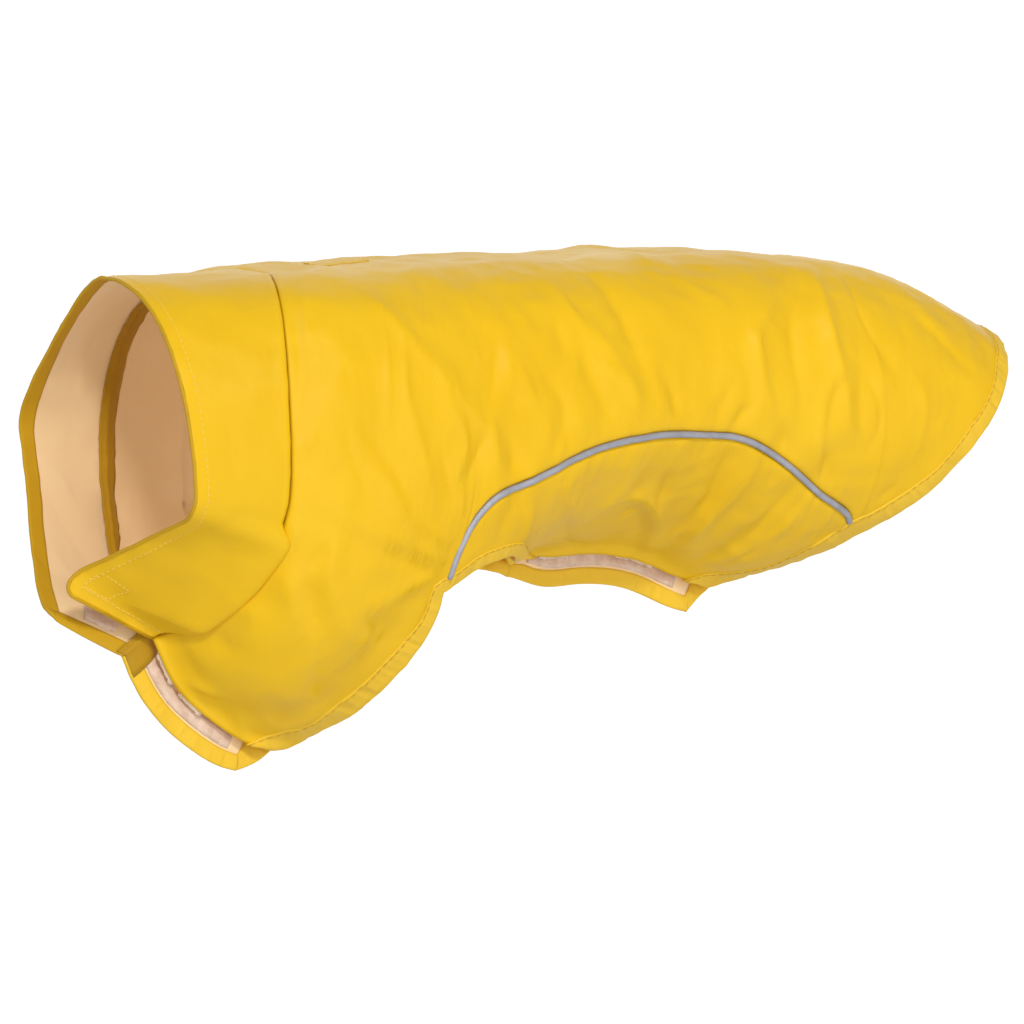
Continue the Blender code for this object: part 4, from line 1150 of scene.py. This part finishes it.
def seam_puckers(run, far, seed, spacing, reach, tall):
    """Ripples that fade with the distance from a seam, but leave the seam itself plain."""
    return puckers(run, spacing, seed)[:, None] * np.exp(-far / reach) * (1 - np.exp(-far / 2.5)) * tall


def whole(halves, k):
    """Item k of the left and right halves joined at the centre line, the first column of both."""
    return np.concatenate([halves[0][k][:, :0:-1], halves[1][k]], 1)


def tucked(edge, inset, rows, share):
    """The edge with these rows drawn back to a share of their distance from the inset line."""
    edge[rows] = inset[rows] + share * (edge[rows] - inset[rows])


def make_back(outlines):
    halves = []
    lengths = np.max([
        row_lengths(o.side, line) for o in outlines for line in (o.back_edge, o.centre)
    ], axis=0)
    for outline in outlines:
        side, junction = outline.side, outline.junction
        edge, inset = outline.back_edge.copy(), outline.back_inset
        tucked(edge, inset, slice(outline.corner + 1 if side < 0 else 1, None), CLOTH_IN_BAND)
        tucked(edge, inset, slice(junction - 1, junction + 2), CLOTH_IN_JOIN)
        corners = (outline.corner, junction, junction + 1, junction + ARCH_ROWS, junction + ARCH_ROWS + 1)
        fine = finer(np.stack([outline.centre, outline.back_keel, inset, edge], 1), lengths, corners)
        grid = untangled(across([fine[:, k] for k in range(4)], BACK_CELLS))
        points, normal = worn_body(side, grid[..., 0], grid[..., 1])
        rows = finer(np.arange(len(edge), dtype=float)[:, None], lengths, corners)[:, :1]
        on_arch = np.clip(np.minimum(rows - junction - 0.6, junction + ARCH_ROWS - rows), 0, 1)
        far = np.linalg.norm(points - points[:, -1:], axis=-1)
        lift = on_arch * (seam_puckers(edge_run(points), far, 3 + side, 11, 11, 1.1) + seam_roll(far))
        lift += seam_roll(grid[..., 0]) * (grid[..., 0] < 3)
        lift += puckers(run_along(points[0]), 10, 11 + side)[None] * np.exp(-grid[..., 0] / 7) * 0.45
        halves.append((points + normal * lift[..., None], normal))
    piece = sheet_mesh("back_cloth", whole(halves, 0), whole(halves, 1), (RAIN, LINING), WALL)
    finish_piece(piece, ["back_panel"])


def make_gusset(outline):
    side = outline.side
    edge, inset = outline.lower_edge.copy(), outline.lower_inset
    banded = np.ones(len(edge), bool)
    if side < 0:
        banded[outline.belly_front + 1:outline.belly_rear] = False
    tucked(edge, inset, banded, CLOTH_IN_BAND)
    tucked(edge, inset, slice(-2, None), CLOTH_IN_JOIN)
    lines = [outline.gusset_top, outline.gusset_keel, inset, edge]
    lengths = np.maximum(row_lengths(side, outline.lower_edge), row_lengths(side, outline.gusset_top))
    fine = finer(np.stack(lines, 1), lengths, (outline.belly_front, outline.belly_rear))
    grid = untangled(across([fine[:, k] for k in range(4)], GUSSET_CELLS))
    points, normal = worn_body(side, grid[..., 0], grid[..., 1])
    far = np.linalg.norm(points - points[:, :1], axis=-1)
    lift = seam_puckers(edge_run(points[:, ::-1]), far, 23 + side, 10, 12, 1.2) + seam_roll(far)
    points = points + normal * lift[..., None]
    piece = sheet_mesh(f"belly_cloth_{SIDE_NAME[side]}", points, normal, (RAIN, LINING), WALL)
    finish_piece(piece, ["side_gusset_" + SIDE_NAME[side]])


def make_piping(outline):
    side = outline.side
    path = np.vstack([PIPING_START, outline.arch[:, 1:]])
    path[-1] += 0.4 * (path[-2] - path[-1])
    fine = finer(path, row_lengths(side, path), step=1.6)
    points, normal = worn_body(side, fine[:, 0], fine[:, 1])
    made = np.random.default_rng(31 + side)
    wobble = 0.14 * np.convolve(made.normal(0, 1, len(points)), np.ones(5) / 5, "same")
    points = points + normal * (wobble[:, None] - 0.35)
    piece = tube_mesh(f"piping_cord_{SIDE_NAME[side]}", points, PIPING_RADIUS, PIPING)
    finish_piece(piece, ["piping_" + SIDE_NAME[side]])


def part_way(lines, share):
    """Points at a share of the way from the first to the last of evenly spaced lines."""
    at = share * (lines.shape[1] - 1)
    low = min(int(at), lines.shape[1] - 2)
    return lines[:, low] + (at - low) * (lines[:, low + 1] - lines[:, low])


def band_grid(cloth, normals, outer, seed, amount=0.6, lift=0.75):
    """Cross sections of a strip folded round an edge, as wide as outer (0 to 1) outside.

    cloth and normals hold evenly spaced lines of points from its inner line to the edge.
    """
    edge, edge_normal = cloth[:, -1], normals[:, -1]
    beyond = edge - cloth[:, 0]
    beyond /= np.linalg.norm(beyond, axis=-1, keepdims=True)
    run = edge_run(edge[:, None])
    ripple = puckers(run, 7, seed) - 0.5
    ripple = ripple - 1.3 * puckers(run, 38, seed + 5) - 2.2 * puckers(run, 15, seed + 9, 0.45)
    ripple = ripple * np.clip(np.minimum(run, run[-1] - run) / 7, 0, 1)
    rows, outward = [], []
    for t in OUTER_LINES:
        share = 1 - outer + outer * t
        place, normal = part_way(cloth, share), part_way(normals, share)
        body = math.sin(math.pi * (0.10 + 0.75 * t))
        rise = lift * 1.15 + 0.35 * body + amount * ripple * body
        if outer > 0.5:    # turned under along its inner edge, and drawn in by its stitches
            rise = rise - lift * (1.5 * math.exp(-t / 0.035) + 0.55 * math.exp(-((t - 0.18) / 0.05) ** 2))
        rise = np.maximum(rise, 0.4 * lift if t > 0.04 else -0.2)
        rows.append(place + normal * np.reshape(rise, (-1, 1)))
        outward.append(normal)
    for turn in np.linspace(0.2, 0.8, 4) * math.pi:
        out, away = math.cos(turn), math.sin(turn)
        middle = -WALL / 2
        rows.append(edge + edge_normal * (middle + out * (WALL / 2 + lift)) + beyond * away * 1.1)
        outward.append(edge_normal * out + beyond * away)
    for t in np.linspace(0, 1, 7):
        share = 1 - t
        place, normal = part_way(cloth, share), part_way(normals, share)
        body = math.sin(math.pi * (0.15 + 0.8 * t))
        rise = -WALL - np.maximum(lift + 0.3 * body + amount * 0.8 * ripple * body, 0.6 * lift)
        rows.append(place + normal * np.reshape(rise, (-1, 1)))
        outward.append(-normal)
    return np.stack(rows, 1), np.stack(outward, 1)


def ring_normals(side, ring):
    """Points and normals of lines from a band's inner line to its edge, a little past its ends."""
    fine = finer(ring, row_lengths(side, ring[:, 0]), step=1.0)
    share = np.linspace(0, 1, BAND_LINES)[:, None]
    fine = fine[:, 1:] + share * (fine[:, :1] - fine[:, 1:])
    points, normal = worn_body(side, fine[..., 0], fine[..., 1])
    for end, beside in ((0, 1), (-1, -2)):
        step = points[end] - points[beside]
        step /= np.linalg.norm(step, axis=-1, keepdims=True) + 1e-9
        points[end] += step * (0.9 - 0.5 * share)
    return points, normal


def make_band(name, node, ring, seed):
    """A band over a ring of (points, normals), and the line of its stitches."""
    grid, outward = band_grid(*ring, 1.0, seed)
    piece = sheet_mesh(name, grid, outward, (TRIM,), STRIP)
    finish_piece(piece, [node])
    return grid[:, 2], outward[:, 2]


def make_bands(left, right):
    seams = []
    for outline in (left, right):
        name = SIDE_NAME[outline.side]
        ring = ring_normals(outline.side, outline.leg_ring())
        seams.append(make_band(f"leg_band_{name}", f"binding_leg_{name}", ring, 41 + outline.side))
    first = ring_normals(-1, left.rear_ring())
    second = ring_normals(1, right.rear_ring()[::-1])
    ring = [np.concatenate([first[k], second[k][1:]]) for k in (0, 1)]
    seams.append(make_band("rear_band", "binding_rear", ring, 51))
    chest, belly = right.chest_rows, right.belly_rows
    for name, edge, inset in (
        ("chest", right.back_edge[chest], right.back_inset[chest]),
        ("belly", right.lower_edge[belly], right.lower_inset[belly]),
    ):
        ring = ring_normals(1, np.stack([edge, inset], 1))
        name += "_band_right"
        seams.append(make_band(name, "binding_" + name.replace("_band", ""), ring, len(name)))
    finish_piece(stitches("band_stitches", seams, SEAM_THREAD, 4.6, 0.2, 0.17))


def in_steps(ends, counts):
    """Values from the first of the ends to the last, with so many steps between each and the next."""
    parts = [np.linspace(a, b, n + 1) for a, b, n in zip(ends[:-1], ends[1:], counts)]
    return np.concatenate([parts[0]] + [part[1:] for part in parts[1:]])


def collar_lines(outline):
    """Girths of the collar's columns at the seam and at the rim."""
    rim = [np.asarray(c, float) for c in RIM_SECTIONS[outline.side]]
    length = run_along(section_curve(rim, *RIM_CLOSING[outline.side]))[-1]
    end = 1.0 if outline.side > 0 else 1 - COLLAR_FLAP / length
    rim = in_steps((0, end - outline.keel_line / length, end - BAND / length, end), COLLAR_CELLS)
    lines = (outline.back_keel, outline.back_inset, outline.back_edge)
    return in_steps((0, *(line[0, 1] for line in lines)), COLLAR_CELLS), rim


def eased(value, start, end):
    """0 up to the start and 1 from the end, with a soft step between them."""
    t = np.clip((value - start) / (end - start), 0, 1)
    return t * t * (3 - 2 * t)


def collar_half(outline):
    """Points and normals of one side of the collar, and the points without its turned front."""
    side = outline.side
    seam, rim = collar_lines(outline)
    low = collar_surface(side, 0.0, seam)
    high = collar_surface(side, 1.0, rim)
    tall = np.linalg.norm(high - low, axis=-1)
    first, last = TAPE_HALF / tall, 1 - BAND / tall
    low_rows, middle_rows, hem_rows = COLLAR_RISE
    rows = [COLLAR_START / tall]
    rows += [first * k / low_rows for k in range(1, low_rows + 1)]
    rows += [first + (last - first) * k / middle_rows for k in range(1, middle_rows + 1)]
    rows += [last + (1 - last) * k / hem_rows for k in range(1, hem_rows + 1)]
    rise = np.stack(rows)
    # the rim's front corner is round
    band_cells = COLLAR_CELLS[-1]
    u = np.clip((np.arange(len(rim)) - (len(rim) - 1 - band_cells)) / band_cells, 0, 1)[None]
    v = np.clip((np.arange(len(rows)) - (len(rows) - 1 - hem_rows)) / hem_rows, 0, 1)[:, None]
    rise -= v * (1 - np.sqrt(1 - u * u / 2)) * (1 - last)
    girth = seam + (rim - seam) * rise
    inset = girth[:, -1 - band_cells][:, None]
    girth -= u * (1 - np.sqrt(1 - v * v / 2)) * (girth[:, -1:] - inset)
    points = collar_surface(side, rise, girth)
    normal = -slopes(collar_surface, side, rise, girth, NUDGE / COLLAR_UNIT, NUDGE / GIRTH_SCALE)[2]
    normal = normal * np.sign((normal * (points - COLLAR_MIDDLE)).sum(-1, keepdims=True))
    lift = 0.8 * cloth_height(points, [
        Crease(collar_surface, side, *crease) for crease in COLLAR_CREASES[side]
    ])
    far = rise * tall
    ripple = puckers(run_along(points[0]), 10, 61 + side)
    lift = lift + seam_roll(far) + ripple[None] * np.exp(-far / 8) * 0.4
    plain = points + normal * lift[..., None]
    # the turned front hangs over the neck seam
    over = eased(girth, *LAPEL_STARTS) * (1 - eased(girth, *LAPEL_ENDS)) * (RIGHT_LAPEL if side > 0 else 1)
    slip = LAPEL_DROP * over * np.exp(-far / 26) * (1 - np.exp(-(far / 1.8) ** 2))
    lift = lift + LAPEL_LIFT * over * np.exp(-far / 22) * (1 - np.exp(-(far / 3.4) ** 2))
    down = (low - high) / tall[..., None]
    return points + normal * lift[..., None] + down * slip[..., None], normal, plain


def grid_at(points, places):
    """Points of a grid at places (row, column) between its own."""
    row, column = places[..., 0], places[..., 1]
    i = np.minimum(row.astype(int), points.shape[0] - 2)
    j = np.minimum(column.astype(int), points.shape[1] - 2)
    u, v = (row - i)[..., None], (column - j)[..., None]
    upper = points[i, j] * (1 - v) + points[i, j + 1] * v
    return upper * (1 - u) + (points[i + 1, j] * (1 - v) + points[i + 1, j + 1] * v) * u


def box_lines(points, normals):
    """The first and last row and the first and last column of a grid, as (points, normals)."""
    sides = (np.s_[0], np.s_[-1], np.s_[:, 0], np.s_[:, -1])
    return [(points[side], normals[side]) for side in sides]


def hem_places(rows, columns):
    """Places (n, lines, 2) in the collar's grid, across its hem, along its left end, rim and right end."""
    inset, top = COLLAR_CELLS[-1], rows - 1 - COLLAR_RISE[-1]
    right, last_row, last_column = columns - 1 - inset, rows - 1, columns - 1
    lines = [((i, 0), (min(i, top), inset)) for i in range(last_row)]
    lines += [((last_row, j), (top, min(max(j, inset), right))) for j in range(columns)]
    lines += [((i, last_column), (min(i, top), right)) for i in range(last_row - 1, -1, -1)]
    edge, inner = np.array(lines, float).transpose(1, 0, 2)[:, :, None]
    return inner + (edge - inner) * np.linspace(0, 1, 7)[:, None]


def make_collar(outlines):
    halves = [collar_half(outline) for outline in outlines]
    points, normal, plain = (whole(halves, k) for k in range(3))
    piece = sheet_mesh("collar_cloth", points, normal, (RAIN, LINING), WALL)
    finish_piece(piece, ["collar"])
    make_rim_hem(points, normal)
    make_neck_tape(outlines, plain, normal)
    # the stitched box that holds the hook tape, at the left front
    top = len(points) - 1 - COLLAR_RISE[-1]
    box = np.s_[top - 8:top + 1, 4:11]
    lines = box_lines(points[box], normal[box])
    finish_piece(stitches("collar_box_stitches", lines, THREAD, 2.0, 0.6))
    return points, normal


def make_rim_hem(points, normal):
    """The hem turned in round the collar's front ends and rim, and its stitches."""
    places = hem_places(*points.shape[:2])
    cloth, outward = grid_at(points, places), grid_at(normal, places)
    grid, hem_outward = band_grid(cloth, outward, 0.04, 71, 0.5, 0.4)
    piece = sheet_mesh("rim_hem_cloth", grid, hem_outward, (TAPE,), HEM_WALL)
    finish_piece(piece, ["collar_rim_hem"])
    line, up = part_way(cloth, 0.12), part_way(outward, 0.12)
    finish_piece(stitches("rim_stitches", [(line + up * 0.05, up)], THREAD))


def make_neck_tape(outlines, plain, normal):
    """The tape over the neck seam, inside."""
    halves = []
    for outline in outlines:
        seam, _ = collar_lines(outline)
        halves.append(worn_body(outline.side, np.array(TAPE_BACKS)[:, None], seam[None]))
    beside = slice(COLLAR_RISE[0], None, -1)
    grid = np.concatenate([plain[beside], whole(halves, 0)])
    outward = np.concatenate([normal[beside], whole(halves, 1)])
    ripple = puckers(edge_run(grid.swapaxes(0, 1)), 7, 77)
    grid = grid - outward * (WALL + 0.35 + 0.8 * ripple[None, :, None])
    # its material's darker yellow is painted shade
    piece = sheet_mesh("neck_tape", grid, outward, (SHADED_NECK_TAPE,), STRIP)
    finish_piece(piece, ["neck_seam_tape"])
    edge_run(grid.swapaxes(0, 1))[-1] * MM + 0.01


def patch_grid(side, ring, start, end, near, far):
    """Points of a tape inside a closing: ring is (rows, 2, 2) places of its edge and a line inside."""
    points = body_surface(side, ring[..., 0], ring[..., 1])
    run = edge_run(points[:, :1])
    want = np.linspace(start, end, int((end - start) / 1.5) + 2)
    at = np.interp(want, run, np.arange(len(run)))
    rows = spline(ring, at)
    wide = np.linalg.norm(np.diff(body_surface(side, rows[..., 0], rows[..., 1]), axis=1), axis=-1)
    far = np.minimum(far, KEEL_FILLED * wide)
    share = (near + (far - near) * np.linspace(0, 1, 5)) / wide
    places = rows[:, :1] + share[..., None] * (rows[:, 1:] - rows[:, :1])
    grid, normal = worn_body(side, places[..., 0], places[..., 1])
    return grid - normal * (WALL + TAPE_GAP), normal


def frayed(grid, much):
    """The same points, with the tape's long sides and ends a little ragged."""
    made = np.random.default_rng(len(grid))
    grid = grid.copy()
    for edge, beside in ((np.s_[:, 0], np.s_[:, 1]), (np.s_[:, -1], np.s_[:, -2]), (0, 1), (-1, -2)):
        grid[edge] += (grid[beside] - grid[edge]) * much * made.uniform(-0.18, 0.32, (len(grid[edge]), 1))
    return grid


def make_tapes(patches, outline, reach, finish, much):
    """The tapes of one kind inside one side's closings."""
    chest, belly = outline.chest_rows, outline.belly_rows
    rings = (
        np.stack([outline.back_edge[chest], outline.back_keel[chest]], 1),
        np.stack([outline.lower_edge[belly], outline.gusset_keel[belly]], 1),
    )
    for name, (closing, start, end) in patches.items():
        grid, normal = patch_grid(outline.side, rings[closing], start, end, *reach)
        piece = sheet_mesh(name + "_tape", frayed(grid, much), normal, (finish,), CLOSING_TAPE_WALL)
        finish_piece(piece, [name])


def make_collar_tapes(points, normal):
    """The tape inside each front end of the collar."""
    left = np.array(COLLAR_PATCH_COLUMNS)
    right = points.shape[1] - 1 - left
    for kind, finish, picks in (("hook", HOOK, left), ("loop", LOOP, right)):
        outward = normal[COLLAR_PATCH, picks]
        grid = points[COLLAR_PATCH, picks] - outward * (WALL + TAPE_GAP)
        piece = sheet_mesh(f"{kind}_collar_tape", grid, outward, (finish,), COLLAR_TAPE_WALL)
        finish_piece(piece, [f"{kind}_collar"])


def make_welt():
    back = np.linspace(WELT_START, WELT_START + WELT_LENGTH, 28)[:, None]
    wide = np.linspace(0, WELT_HALF, 5)[None] / GIRTH_SCALE
    halves = [worn_body(side, back, wide) for side in SIDES]
    points, normal = whole(halves, 0), whole(halves, 1)
    lift = 0.35 + 0.25 * np.sin(np.linspace(0, np.pi, 9))[None]
    grid = points + normal * lift[..., None]
    piece = sheet_mesh("leash_welt", grid, normal, (TRIM,), WELT_WALL)
    finish_piece(piece, ["leash_slit_welt"])
    box = box_lines(grid.swapaxes(0, 1), normal.swapaxes(0, 1))
    finish_piece(stitches("welt_stitches", box, THREAD, 2.4, 0.7, 0.34))


def make_studio():
    """A pale floor where the dog stands, soft light all round and a softer key from the front."""
    made, tree, shader = new_material("pale floor")
    feed(tree, shader, {
        "Base Color": (0.93, 0.93, 0.93, 1),
        "Roughness": 1.0,
        "Specular IOR Level": 0.0,
        "Emission Color": (1, 1, 1, 1),
        "Emission Strength": FLOOR_GLOW,
    })
    corners = [
        (x * FLOOR_REACH, y * FLOOR_REACH, FLOOR_HEIGHT) for x, y in ((-1, -1), (1, -1), (1, 1), (-1, 1))
    ]
    floor = new_piece("studio_floor", corners, [(0, 1, 2, 3)], [made])
    floor.visible_diffuse = floor.visible_glossy = floor.visible_shadow = False    # light passes it
    world = bpy.data.worlds.new("studio")
    world.use_nodes = True
    tree = world.node_tree
    place = tree.nodes.new("ShaderNodeTexCoord").outputs["Generated"]
    height = wire(tree, "ShaderNodeSeparateXYZ", {0: place}).node.outputs["Z"]
    light = wire(tree, "ShaderNodeMapRange", {
        "Value": height, "From Min": -0.3, "From Max": 0.3, "To Min": BOUNCE, "To Max": SKY,
    })
    feed(tree, tree.nodes["Background"], {"Color": light})
    bpy.context.scene.world = world
    for name, strength, source, wide in SUNS:
        lamp = bpy.data.lights.new(name, "SUN")
        lamp.energy = strength
        lamp.angle = math.radians(wide)
        lit = bpy.data.objects.new(name, lamp)
        lit.rotation_euler = Vector(source).to_track_quat("Z", "Y").to_euler()
        bpy.context.scene.collection.objects.link(lit)
    bpy.context.scene.view_settings.view_transform = "Standard"


def make_camera():
    towards = Vector(CAMERA_SIDE).normalized()
    lens = bpy.data.cameras.new("camera")
    lens.lens = LENS
    lens.sensor_width = 36
    lens.clip_end = 50
    camera = bpy.data.objects.new("camera", lens)
    camera.location = Vector(CAMERA_TARGET) + towards * CAMERA_DISTANCE
    camera.rotation_euler = (-towards).to_track_quat("-Z", "Y").to_euler()
    bpy.context.scene.collection.objects.link(camera)
    bpy.context.scene.camera = camera


make_camera()
make_studio()
left, right = outlines = Outline(-1), Outline(1)
make_back(outlines)
for outline in outlines:
    make_gusset(outline)
    make_piping(outline)
make_bands(left, right)
collar, collar_normal = make_collar(outlines)
make_tapes(HOOK_PATCHES, left, HOOK_ACROSS, HOOK, 1.0)
make_tapes(LOOP_PATCHES, right, LOOP_ACROSS, LOOP, 0.4)
make_collar_tapes(collar, collar_normal)
make_welt()
